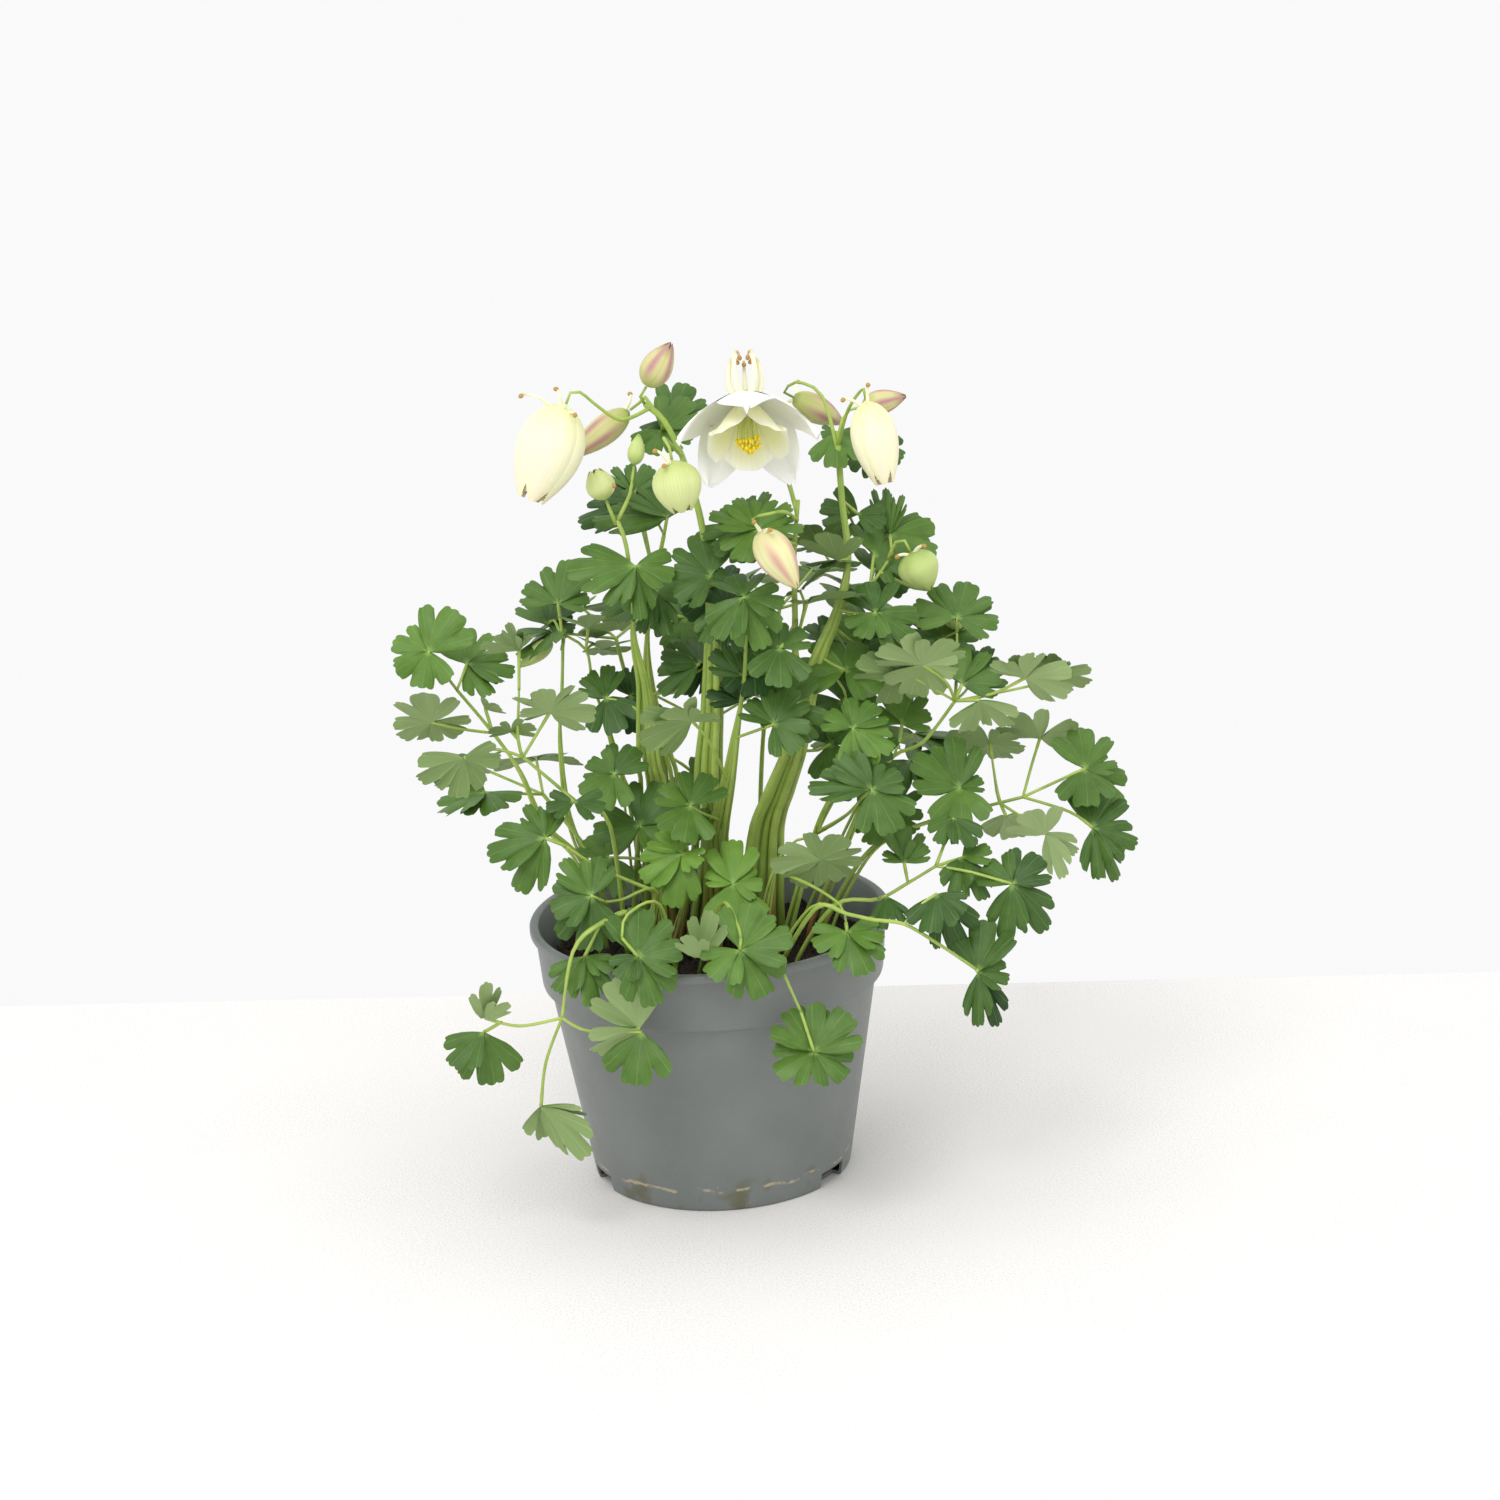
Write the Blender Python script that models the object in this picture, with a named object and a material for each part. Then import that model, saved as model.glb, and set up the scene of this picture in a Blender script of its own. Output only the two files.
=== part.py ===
"""A dwarf columbine in its round nursery pot, one object for each frond, stem, bud and bloom.

Metres, +Z up. The origin is the centre of the pot's flat underside.
Fronds and stems are laid out on a front sheet: a place on it is (across, down, depth), the first two
in sheet pixels as seen by a camera in front of the pot, depth in mm behind the pot's axis.
"""
import random
from math import atan2, cos, pi, radians, sin, tan

import bmesh
import bpy
from mathutils import Matrix, Vector

MM = 0.001

# Driving sizes of the pot, in metres
POT_RIM_R = 0.095
POT_BASE_R = 0.0685
POT_HEIGHT = 0.140
POT_WALL = 0.0013
COLLAR_HEIGHT = 0.032
COLLAR_STEP = 0.0042
LIP = 0.0028
POT_STEPS = 28
FLOOR_THICK = 0.0020
NOTCH_WIDTH = 0.020
NOTCH_HEIGHT = 0.0085
NOTCH_DEPTH = 0.006
NOTCH_TURNS = (-157, -34, 84)

# Soil
SOIL_TOP = 0.120
SOIL_BOTTOM = 0.030
CLEARANCE = 0.0003
FOOT_DEPTH = 0.012

# The front sheet: where the rim's centre is drawn, how far off the eye is and how it looks down
SHEET_MIDDLE = 750.0
RIM_ON_SHEET = (710.0, 913.0)
EYE_DISTANCE = 1.90
SHEET_SCALE = 3614.0
LOOK_DOWN = radians(17)
SHEET_ROLL = radians(3)

# Foliage
BLADE_THICK = 0.0007
STALKLET_R = 0.0008
PETIOLE_R = 0.0014
SIDE_LEAFLET_TURN = radians(104)
SIDE_LEAFLET_SIZE = 0.92
DROOP = 0.16
CUP = 0.14
STALK_SINK = 0.12


def sheet_axes():
    """The eye's place and its forward, right and up directions."""
    forward = Vector((0, cos(LOOK_DOWN), -sin(LOOK_DOWN)))
    right = Matrix.Rotation(SHEET_ROLL, 3, forward) @ Vector((1, 0, 0))
    up = right.cross(forward)
    across = (RIM_ON_SHEET[0] - SHEET_MIDDLE) / SHEET_SCALE
    down = (RIM_ON_SHEET[1] - SHEET_MIDDLE) / SHEET_SCALE
    ray = forward + right * across - up * down
    return Vector((0, 0, POT_HEIGHT)) - ray * EYE_DISTANCE, forward, right, up


EYE, FORWARD, RIGHT, UP = sheet_axes()


def on_sheet(across, down, depth):
    """The point seen at (across, down) on the sheet, depth mm behind the pot's axis."""
    ray = FORWARD + RIGHT * ((across - SHEET_MIDDLE) / SHEET_SCALE)
    ray = ray - UP * ((down - SHEET_MIDDLE) / SHEET_SCALE)
    return EYE + ray * ((depth * MM - EYE.y) / ray.y)


# How a leaflet faces the front: its upper side (T), its underside (U) or its edge (E)
FACES = {
    "T": Vector((0.0, -0.62, 0.78)),
    "U": Vector((0.0, 0.80, 0.60)),
    "E": Vector((0.0, 0.30, 0.95)),
}

# The stalks and leaves of each node. A stalk is (foot, thickness, points): the foot is its place on
# the soil in mm, or None where it starts on another stalk. A leaf is (face, points of its stalklet,
# the last one its joint, and the tips of its leaflets).
FOLIAGE = {
    "frond_left_high": {
        "stalks": [
            ((-56, 6), 1.5, [(582, 862, 10), (545, 824, 14), (521, 773, 18), (493, 733, 22), (457, 690, 25)]),
        ],
        "leaves": [
            ("T", [(457, 690, 25), (428, 652, 25)], [(458, 614), (391, 644), (423, 676)]),
            ("T", [(457, 690, 25), (467, 664, 45)], [(460, 638), (517, 669), (492, 690)]),
            ("U", [(493, 733, 22), (462, 729, 12), (432, 722, 5)], [(398, 740), (425, 684), (462, 742)]),
            ("U", [(493, 733, 22), (485, 708, 24)], [(500, 700)]),
        ],
    },
    "frond_left_low": {
        "stalks": [
            ((-44, -14), 1.5, [(610, 826, -26), (582, 806, -30), (561, 789, -34), (523, 757, -38)]),
            (None, 1.0, [(523, 757, -38), (518, 739, -36), (519, 690, -24)]),
        ],
        "leaves": [
            ("U", [(523, 757, -38), (493, 749, -44), (464, 758, -50)], [(416, 780), (456, 804), (502, 762)]),
            ("U", [(519, 690, -24), (519, 650, -15)], [(510, 614), (480, 639), (531, 621)]),
            ("U", [(523, 757, -38), (550, 712, -35)], [(519, 708), (541, 675), (598, 714)]),
            ("U", [(518, 739, -36), (511, 731, -30)], [(490, 726), (536, 724)]),
            ("T", [(561, 789, -34), (574, 802, -44)], [(545, 806), (606, 806)]),
        ],
    },
    "frond_left_back": {
        "stalks": [
            ((-52, 30), 1.5, [(574, 829, 36), (565, 787, 40), (560, 731, 45), (562, 688, 48), (563, 639,
                50)]),
            ((-34, 24), 1.3, [(630, 807, 30), (620, 773, 34), (609, 731, 40), (593, 684, 46), (586, 650,
                48), (563, 634, 50)]),
        ],
        "leaves": [
            ("T", [(563, 640, 50), (558, 604, 50)], [(524, 586), (570, 566), (590, 597)]),
            ("U", [(586, 650, 48), (588, 628, 46)], [(604, 640), (590, 600)]),
        ],
    },
    "frond_front_left": {
        "stalks": [
            ((-38, -40), 1.3, [(656, 892, -50), (621, 900, -66), (605, 902, -72)]),
            (None, 1.1, [(656, 892, -50), (600, 868, -54), (566, 846, -56)]),
        ],
        "leaves": [
            ("T", [(566, 846, -56), (545, 838, -56)], [(524, 814), (484, 854), (516, 893), (552, 815)]),
            ("T", [(605, 902, -72), (591, 896, -78)], [(562, 866), (600, 868), (550, 908), (590, 946)]),
        ],
    },
    "frond_left_hanging": {
        "stalks": [
            ((-30, -54), 1.4, [(640, 915, -74), (600, 925, -90), (573, 952, -98), (562, 1018, -102)]),
        ],
        "leaves": [
            ("T", [(600, 925, -90), (585, 956, -86)], [(554, 985), (594, 997), (614, 966)]),
            ("U", [(562, 1018, -102), (519, 1026, -101), (485, 1018, -100)], [(487, 972), (510, 994)]),
            ("T", [(502, 1022, -101), (484, 1032, -97)], [(450, 1060), (494, 1088)]),
            ("U", [(562, 1018, -102), (589, 1031, -104), (640, 1028, -106)], [(614, 976), (592, 1056)]),
            ("T", [(610, 1031, -105), (642, 1032, -106)], [(634, 1078)]),
            ("U", [(562, 1018, -102), (546, 1062, -102), (541, 1106, -102)], [(590, 1116), (592, 1157),
                (546, 1150)]),
        ],
    },
    "frond_front_low": {
        "stalks": [((-18, -58), 1.2, [(660, 905, -78), (627, 915, -94), (622, 938, -101)])],
        "leaves": [("T", [(622, 938, -101), (638, 957, -103)], [(640, 916), (684, 950), (656, 996), (616,
            970)])],
    },
    "frond_front": {
        "stalks": [((-2, -50), 1.4, [(722, 905, -72), (736, 920, -94), (741, 938, -104)])],
        "leaves": [
            ("T", [(741, 938, -104), (740, 950, -106)], [(752, 911), (794, 936), (766, 989), (708, 972)]),
            ("U", [(736, 920, -94), (712, 940, -96), (701, 957, -99)], [(712, 904), (686, 924)]),
        ],
    },
    "frond_front_hanging": {
        "stalks": [((14, -46), 1.2, [(762, 920, -78), (777, 958, -102), (801, 1012, -107)])],
        "leaves": [("T", [(801, 1012, -107), (814, 1052, -108)], [(790, 1016), (850, 1016), (846, 1070),
            (774, 1070)])],
    },
    "frond_young": {
        "stalks": [((-22, -32), 1.1, [(690, 880, -38), (684, 862, -42)])],
        "leaves": [("T", [(684, 862, -42), (682, 854, -44)], [(660, 836), (702, 860), (672, 904), (638,
            874)])],
    },
    "frond_young_centre": {
        "stalks": [((4, -34), 1.1, [(728, 900, -42), (733, 890, -48)])],
        "leaves": [("T", [(733, 890, -48), (733, 884, -50)], [(706, 876), (732, 848), (764, 884), (738,
            918)])],
    },
    "frond_centre_left": {
        "stalks": [
            ((-24, 4), 1.2, [(664, 862, 0), (653, 843, -4), (646, 832, -6)]),
            (None, 1.0, [(664, 862, 0), (682, 852, -16)]),
        ],
        "leaves": [
            ("T", [(646, 832, -6), (640, 826, -8)], [(592, 834), (664, 788), (668, 836)]),
            ("T", [(664, 862, 0), (630, 858, 10), (608, 858, 14)], [(586, 842), (586, 880), (622, 884)]),
            ("T", [(682, 852, -16), (687, 846, -20)], [(708, 816), (682, 826)]),
        ],
    },
    "frond_arched": {
        "stalks": [
            ((24, -36), 1.2, [(775, 870, -46), (797, 840, -52), (812, 840, -58)]),
            (None, 1.1, [(775, 870, -46), (812, 886, -66), (840, 905, -80), (846, 922, -86)]),
        ],
        "leaves": [
            ("U", [(812, 840, -58), (820, 859, -62)], [(768, 864), (840, 826), (796, 892), (850, 886)]),
            ("T", [(846, 922, -86), (847, 932, -88)], [(812, 944), (866, 966), (886, 934)]),
        ],
    },
    "frond_right_centre": {
        "stalks": [
            ((40, -20), 1.4, [(815, 837, -26), (832, 792, -36), (844, 759, -42), (850, 740, -44)]),
            (None, 1.3, [(818, 832, -28), (836, 822, -46), (850, 812, -58), (861, 799, -64)]),
        ],
        "leaves": [
            ("T", [(850, 740, -44), (853, 728, -46)], [(862, 767), (877, 708), (894, 748), (826, 716)]),
            ("T", [(861, 799, -64), (872, 789, -68)], [(806, 784), (836, 758), (902, 776), (894, 826)]),
            ("T", [(844, 759, -42), (866, 764, -30)], [(872, 738), (896, 768), (870, 796)]),
        ],
    },
    "frond_right_high": {
        "stalks": [
            ((52, 6), 1.5, [(846, 840, 4), (870, 790, 0), (894, 756, -4), (923, 742, -8), (955, 701, -14)]),
            (None, 1.0, [(955, 701, -14), (957, 665, 4), (957, 632, 14)]),
        ],
        "leaves": [
            ("U", [(955, 701, -14), (946, 682, -22), (923, 665, -28)], [(952, 634), (878, 640), (914, 706),
                (958, 674)]),
            ("T", [(955, 701, -14), (962, 684, -12)], [(961, 654), (1002, 676)]),
            ("U", [(955, 701, -14), (992, 694, -20), (1025, 678, -26)], [(990, 652), (1024, 640), (1074,
                690)]),
            ("U", [(955, 701, -14), (980, 700, -22)], [(1012, 732), (968, 742)]),
            ("T", [(957, 632, 14), (957, 618, 14)], [(912, 606), (972, 590), (1000, 622)]),
            ("T", [(894, 756, -4), (900, 738, 8), (902, 724, 12)], [(874, 712), (906, 690), (932, 716)]),
            ("T", [(868, 795, 0), (882, 806, 12), (888, 812, 14)], [(868, 836), (914, 828), (902, 788)]),
        ],
    },
    "frond_right": {
        "stalks": [
            ((60, 10), 1.5, [(870, 850, 8), (934, 820, 6), (987, 806, 4), (1023, 797, 2)]),
            (None, 1.0, [(1000, 803, 4), (997, 791, 10), (992, 758, 16)]),
        ],
        "leaves": [
            ("U", [(992, 758, 16), (990, 743, 20)], [(944, 735), (1014, 730), (1006, 768)]),
            ("U", [(1023, 797, 2), (1032, 764, 20), (1040, 738, 32)], [(1008, 708), (1088, 736)]),
            ("T", [(1023, 797, 2), (1073, 774, 6), (1085, 769, 8)], [(1084, 738), (1119, 764), (1126, 806),
                (1082, 797)]),
            ("T", [(1023, 797, 2), (1070, 812, -4), (1093, 828, -8)], [(1104, 794), (1138, 842), (1122,
                882), (1096, 872)]),
            ("U", [(1000, 803, 4), (1020, 816, -16), (1046, 834, -26)], [(1024, 803), (1080, 858), (1066,
                882)]),
            ("U", [(1000, 803, 4), (1006, 816, -8)], [(1018, 846)]),
            ("T", [(987, 806, 4), (972, 798, -12), (959, 788, -18)], [(910, 760), (956, 742), (984, 780),
                (958, 818)]),
        ],
    },
    "frond_right_low": {
        "stalks": [
            ((44, -42), 1.4, [(835, 905, -56), (878, 899, -58), (908, 883, -58), (936, 866, -56)]),
            (None, 1.0, [(936, 866, -56), (946, 840, -48), (953, 826, -44)]),
        ],
        "leaves": [
            ("T", [(936, 866, -56), (970, 872, -62), (1012, 884, -68)], [(1044, 862), (1004, 938), (1048,
                932), (986, 868)]),
            ("T", [(936, 866, -56), (962, 858, -52)], [(992, 850), (984, 892), (950, 880)]),
            ("T", [(953, 826, -44), (953, 818, -42)], [(936, 834), (972, 836)]),
            ("T", [(908, 883, -58), (904, 862, -60)], [(906, 834), (930, 850), (884, 856)]),
            ("T", [(878, 899, -58), (886, 896, -64)], [(904, 914), (880, 918)]),
        ],
    },
    "frond_right_hanging": {
        "stalks": [
            ((34, -56), 1.4, [(816, 908, -82), (847, 914, -88), (875, 920, -90), (904, 924, -90), (940,
                945, -88), (976, 969, -86)]),
        ],
        "leaves": [
            ("T", [(976, 969, -86), (978, 972, -86)], [(986, 926), (1010, 976), (1000, 1030), (976, 1020)]),
            ("T", [(904, 924, -90), (922, 904, -84), (937, 894, -80)], [(966, 906), (964, 952), (926, 922)]),
        ],
    },
    "stem_left": {
        "stalks": [((-30, 12), 1.9, [(654, 793, 14), (650, 766, 12), (646, 717, 8), (643, 682, 4), (634,
            640, 0), (633, 600, -4), (626, 545, -6), (617, 520, -5)])],
        "leaves": [
            ("T", [(633, 590, -4), (636, 566, -12)], [(564, 572), (606, 602), (640, 616), (676, 572)]),
            ("T", [(646, 717, 8), (628, 704, 18), (606, 698, 24)], [(580, 684), (606, 672), (620, 722)]),
            ("T", [(650, 766, 12), (630, 772, 2), (614, 774, -6)], [(586, 764), (602, 798), (636, 754)]),
        ],
    },
    "stem_middle_left": {
        "stalks": [((-20, 22), 1.9, [(667, 791, 28), (661, 752, 26), (650, 696, 24), (647, 640, 26), (655,
            580, 32), (664, 535, 36)])],
        "leaves": [
            ("T", [(664, 535, 36), (667, 518, 36)], [(590, 522), (622, 490), (671, 500)]),
            ("T", [(650, 696, 24), (672, 684, 18), (699, 664, 14)], [(656, 688), (700, 646), (660, 655)]),
            ("T", [(655, 580, 32), (640, 520, 60), (634, 492, 66)], [(612, 470), (606, 486), (650, 470)]),
            ("T", [(648, 620, 28), (672, 616, 42), (684, 618, 46)], [(664, 600), (708, 604), (694, 644)]),
            ("U", [(661, 752, 26), (682, 764, 34), (692, 772, 38)], [(718, 756), (712, 794), (680, 800)]),
        ],
    },
    "stem_main": {
        "stalks": [
            ((-6, 8), 2.7, [(711, 850, 8), (710, 766, 6), (713, 710, 4), (713, 640, 2), (711, 580, 0),
                (699, 512, 2), (690, 484, 4), (682, 456, 6), (664, 421, 8), (645, 404, 10)]),
        ],
        "leaves": [
            ("T", [(711, 590, 0), (711, 576, -12)], [(672, 592), (700, 538), (728, 576)]),
            ("T", [(664, 421, 8), (662, 430, 22)], [(650, 446), (690, 402), (694, 436)]),
        ],
    },
    "stem_centre": {
        "stalks": [((4, 4), 1.8, [(716, 850, -4), (718, 829, -8), (728, 780, -14), (735, 738, -18), (744,
            681, -24), (746, 630, -32)])],
        "leaves": [
            ("T", [(746, 630, -32), (744, 597, -36)], [(714, 634), (764, 646), (786, 602), (734, 580)]),
            ("T", [(744, 681, -24), (744, 676, -22)], [(710, 656), (742, 640), (776, 656)]),
            ("U", [(728, 780, -14), (708, 740, -34), (692, 721, -42)], [(638, 742), (664, 700), (716, 708)]),
            ("T", [(735, 738, -18), (758, 730, -36), (774, 724, -42)], [(748, 704), (794, 694), (800, 742)]),
            ("T", [(720, 820, -9), (700, 812, -28), (690, 806, -34)], [(662, 790), (712, 780), (682, 832)]),
        ],
    },
    "stem_right": {
        "stalks": [
            ((26, 6), 2.9, [(765, 833, 4), (778, 792, 2), (793, 751, 0), (807, 692, -2), (819, 655, -2),
                (838, 609, 0), (848, 560, 6), (842, 500, 14), (838, 445, 20)]),
            (None, 2.0, [(807, 692, -2), (796, 660, -4), (795, 615, -6), (794, 560, -6), (797, 513, -2),
                (798, 500, -2)]),
            (None, 1.2, [(838, 609, 0), (870, 585, 8), (890, 558, 10)]),
        ],
        "leaves": [
            ("T", [(797, 545, -6), (770, 534, -16), (757, 529, -20)], [(708, 514), (740, 556), (792, 506),
                (736, 502), (806, 528)]),
            ("T", [(795, 667, -4), (792, 690, -20), (786, 706, -30)], [(792, 678), (756, 720), (810, 734)]),
            ("E", [(797, 640, -6), (807, 603, -14)], [(786, 600), (868, 589)]),
            ("T", [(838, 445, 20), (836, 432, 30)], [(834, 462), (874, 450), (820, 434)]),
            ("T", [(842, 500, 14), (858, 514, 26)], [(820, 505), (886, 520)]),
            ("U", [(848, 560, 6), (838, 560, -4)], [(824, 524), (832, 580)]),
            ("T", [(870, 585, 8), (874, 555, 18)], [(910, 566), (880, 530)]),
            ("T", [(838, 609, 0), (862, 614, -12), (876, 613, -16)], [(868, 588), (914, 635), (860, 630)]),
            ("T", [(819, 655, -2), (832, 664, -4), (845, 670, -6)], [(862, 650), (884, 684), (796, 668)]),
            ("T", [(892, 555, 10), (890, 535, 30)], [(887, 494), (905, 498), (938, 552)]),
            ("T", [(793, 751, 0), (818, 750, 10), (830, 744, 14)], [(810, 722), (854, 722), (842, 772)]),
            ("T", [(797, 620, -6), (786, 640, -30), (780, 648, -36)], [(752, 640), (778, 676), (806, 634)]),
            ("T", [(832, 625, -1), (850, 640, 14), (858, 646, 18)], [(842, 620), (888, 634), (866, 674)]),
        ],
    },
}

# Buds and closed blooms: base, tip and half width on the sheet, spur tips, the colour's name, and the
# stem that it grows on with the points that its own stalk passes
BUDS = {
    "bud_top": ((646, 387, 9), (671, 343, 6), 15, (), "bud_pink", "stem_main", [(646, 406, 10)]),
    "bud_left_nodding": ((630, 410, 20), (568, 458, 14), 14, ((630, 394, 28),), "bud_pink", "stem_main",
                         [(655, 412, 10), (645, 397, 16)]),
    "bud_left_small": ((634, 466, -6), (639, 434, -2), 8, (), "bud_green", "stem_left", [(618, 520, -5),
        (630, 494, -8)]),
    "bud_left_low": ((553, 640, 58), (519, 667, 58), 9, (), "bud_green", "frond_left_back", [(562, 650,
        50), (564, 636, 56)]),
    "bud_right_pink": ((793, 397, 37), (843, 423, 52), 14, ((780, 404, 40), (798, 382, 50)), "bud_pink",
        "stem_right",
                       [(838, 452, 20), (822, 396, 26), (796, 382, 32)]),
    "bud_right": ((861, 407, 24), (906, 396, 22), 12, (), "bud_pink", "stem_right", [(838, 445, 20), (842,
        420, 22)]),
    "bud_front": ((759, 529, -42), (797, 588, -48), 18, ((754, 522, -48), (770, 530, -52)), "bud_cream",
        "stem_right",
                  [(797, 520, -3), (785, 512, -24), (768, 514, -38)]),
    "bud_side_green": ((910, 551, 4), (930, 590, 2), 20, ((897, 557, 0), (924, 546, -2)), "bud_green",
        "stem_right",
                       [(888, 560, 10), (896, 542, 8)]),
    "bud_side_low": ((938, 598, 30), (966, 636, 40), 10, (), "bud_green", "stem_right", [(880, 572, 9),
        (914, 588, 26)]),
    "bloom_left_nodding": ((566, 404, -18), (530, 500, -28), 32,
                           ((521, 396, -24), (556, 389, -14), (575, 415, -30)), "petal_cream", "stem_main",
                           [(650, 408, 9), (622, 420, 0), (600, 408, -8), (580, 392, -14)]),
    "bloom_right_nodding": ((866, 400, -8), (885, 484, -16), 22, ((868, 385, -12), (843, 400, -12)),
        "petal_cream",
                            "stem_right", [(838, 445, 20), (848, 410, 4)]),
    "bloom_middle_green": ((672, 460, -38), (683, 512, -42), 23, ((655, 451, -40), (664, 466, -48)),
        "petal_green",
                           "stem_main", [(682, 456, 6), (664, 438, -16)]),
    "bloom_back_green": ((606, 500, -6), (594, 470, -4), 14, ((614, 486, -8),), "petal_green", "stem_left",
        [(616, 524, -5)]),
}
STALK_GAP = 0.0004

# The open bloom: where its petals spring from, the way its bell opens, and its sizes
BLOOM_AT = (746, 402, -6)
BLOOM_FACING = Vector((0.0, -0.72, -0.69)).normalized()
BLOOM_STALK = ("stem_right", [(797, 513, -2), (788, 480, 14), (770, 420, 20), (756, 396, 14)])
SEPAL_LENGTH = 0.048
SEPAL_WIDTH = 0.025
SEPAL_OUT, SEPAL_FORWARD = 0.72, 0.60
CUP_RADIUS = 0.0195
CUP_DEPTH = 0.026
CUP_STEPS = 15
SPUR_LENGTH = 0.026
STAMENS = 9

COLOURS = {
    "pot": (0.18, 0.19, 0.195, 1),
    "soil": (0.013, 0.009, 0.007, 1),
    "leaf": (0.055, 0.19, 0.028, 1),
    "petal_white": (0.90, 0.90, 0.82, 1),
    "petal_cream": (0.84, 0.86, 0.56, 1),
    "petal_green": (0.52, 0.62, 0.27, 1),
    "bud_pink": (0.62, 0.50, 0.36, 1),
    "bud_cream": (0.78, 0.76, 0.48, 1),
    "bud_green": (0.38, 0.55, 0.16, 1),
    "stamen": (0.85, 0.55, 0.02, 1),
}

# Fronds behind the pot's axis, out of the front's view: bearing, height of the node and reach in mm
BACK_FRONDS = ((26, 92, 124), (56, 178, 112), (88, 104, 130), (122, 165, 112), (156, 84, 130))

# %% Working scene

for thing in list(bpy.data.objects):
    bpy.data.objects.remove(thing)
SCENE = bpy.context.scene.collection
PLANT = bpy.data.collections.new("Plant")
CUTTERS = bpy.data.collections.new("Cutters")
SCENE.children.link(PLANT)
SCENE.children.link(CUTTERS)
CUTTERS.hide_render = True


def make_object(name, mesh, collection):
    thing = bpy.data.objects.new(name, mesh)
    collection.objects.link(thing)
    return thing


def solid(name, points, faces, collection):
    """A mesh object with its faces turned outwards."""
    mesh = bpy.data.meshes.new(name)
    mesh.from_pydata([tuple(p) for p in points], [], faces)
    shape = bmesh.new()
    shape.from_mesh(mesh)
    bmesh.ops.recalc_face_normals(shape, faces=shape.faces)
    bmesh.ops.triangulate(shape, faces=shape.faces)
    shape.to_mesh(mesh)
    shape.free()
    return make_object(name, mesh, collection)


def colour(thing, name):
    """The object's own Principled material."""
    paint = bpy.data.materials.new(thing.name + "_colour")
    paint.use_nodes = True
    paint.node_tree.nodes["Principled BSDF"].inputs["Base Color"].default_value = COLOURS[name]
    paint.node_tree.nodes["Principled BSDF"].inputs["Roughness"].default_value = 0.6
    paint.diffuse_color = COLOURS[name]
    thing.data.materials.clear()
    thing.data.materials.append(paint)


def joined(name, pieces, colour_name):
    """The union of a collection's pieces as one object of that name."""
    first = pieces.objects[0]
    others = bpy.data.collections.new(name + "_rest")
    SCENE.children.link(others)
    for piece in list(pieces.objects)[1:]:
        pieces.objects.unlink(piece)
        others.objects.link(piece)
    if others.objects:
        union = first.modifiers.new("join", "BOOLEAN")
        union.operation = "UNION"
        union.solver = "EXACT"
        union.operand_type = "COLLECTION"
        union.collection = others
        thin = first.modifiers.new("fewer_joint_faces", "DECIMATE")
        thin.ratio = KEEP_FACES if colour_name == "leaf" else 1.0
    mesh = bpy.data.meshes.new_from_object(first.evaluated_get(bpy.context.evaluated_depsgraph_get()))
    for piece in list(others.objects) + list(pieces.objects):
        bpy.data.objects.remove(piece)
    bpy.data.collections.remove(others)
    bpy.data.collections.remove(pieces)
    thing = make_object(name, mesh, PLANT)
    colour(thing, colour_name)
    return thing


def pieces_for(name):
    pieces = bpy.data.collections.new(name + "_pieces")
    SCENE.children.link(pieces)
    return pieces


def smooth_line(points, spacing=0.030):
    """A Catmull-Rom line through the points, with a place about every spacing."""
    line = []
    last = len(points) - 1
    for k in range(last):
        before, a, b, after = points[max(k - 1, 0)], points[k], points[k + 1], points[min(k + 2, last)]
        steps = max(1, round((b - a).length / spacing))
        for s in range(steps):
            t = s / steps
            line.append(0.5 * (2 * a + (b - before) * t + (2 * before - 5 * a + 4 * b - after) * t * t
                               + (3 * a - before - 3 * b + after) * t ** 3))
    return line + [points[last]]


def tube(name, line, thickness, pieces, end=0.75, sides=0):
    """A closed round stalk along the line, thinner towards its end."""
    data = bpy.data.curves.new(name, "CURVE")
    data.dimensions = "3D"
    data.bevel_depth = thickness
    data.bevel_resolution = sides
    data.use_fill_caps = True
    spline = data.splines.new("POLY")
    spline.points.add(len(line) - 1)
    for k, place in enumerate(line):
        spline.points[k].co = (*place, 1)
        spline.points[k].radius = 1 + (end - 1) * k / (len(line) - 1)
    guide = make_object(name, data, pieces)
    mesh = bpy.data.meshes.new_from_object(guide.evaluated_get(bpy.context.evaluated_depsgraph_get()))
    bpy.data.objects.remove(guide)
    shape = bmesh.new()
    shape.from_mesh(mesh)
    bmesh.ops.remove_doubles(shape, verts=shape.verts, dist=0.00001)
    bmesh.ops.recalc_face_normals(shape, faces=shape.faces)
    shape.to_mesh(mesh)
    shape.free()
    return make_object(name, mesh, pieces)


# Half of a leaflet's outline: across and along, as shares of its width and length, and its rise
HALF_LEAF = ((0.011, 0.055, 0.0), (0.48, 0.66, 0.6), (0.20, 0.73, -0.1), (0.18, 0.97, 0.3))


def ribbon_faces(count):
    """Triangles across an outline whose two halves mirror each other, from its base to its tip."""
    faces = []
    for k in range(count // 2 - 1):
        m = count - 1 - k
        faces += [(k, m, m - 1), (k, m - 1, k + 1)]
    return faces


def outline_places(base, tip, facing, width=1.0, outline=HALF_LEAF, rise=CUP):
    """The points round a leaflet, and the direction that its upper side faces."""
    along = tip - base
    length = along.length
    along.normalize()
    across = along.cross(facing).normalized()
    normal = across.cross(along)
    flat = [(x, y, z) for x, y, z in outline] + [(-x, y, z) for x, y, z in reversed(outline)]
    places = []
    for x, y, z in flat:
        fall = DROOP * y * (1 - y)
        places.append(base + along * (y * length) + across * (x * width * length)
                      + normal * (length * (z * rise * width + fall)))
    return places, normal


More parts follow.
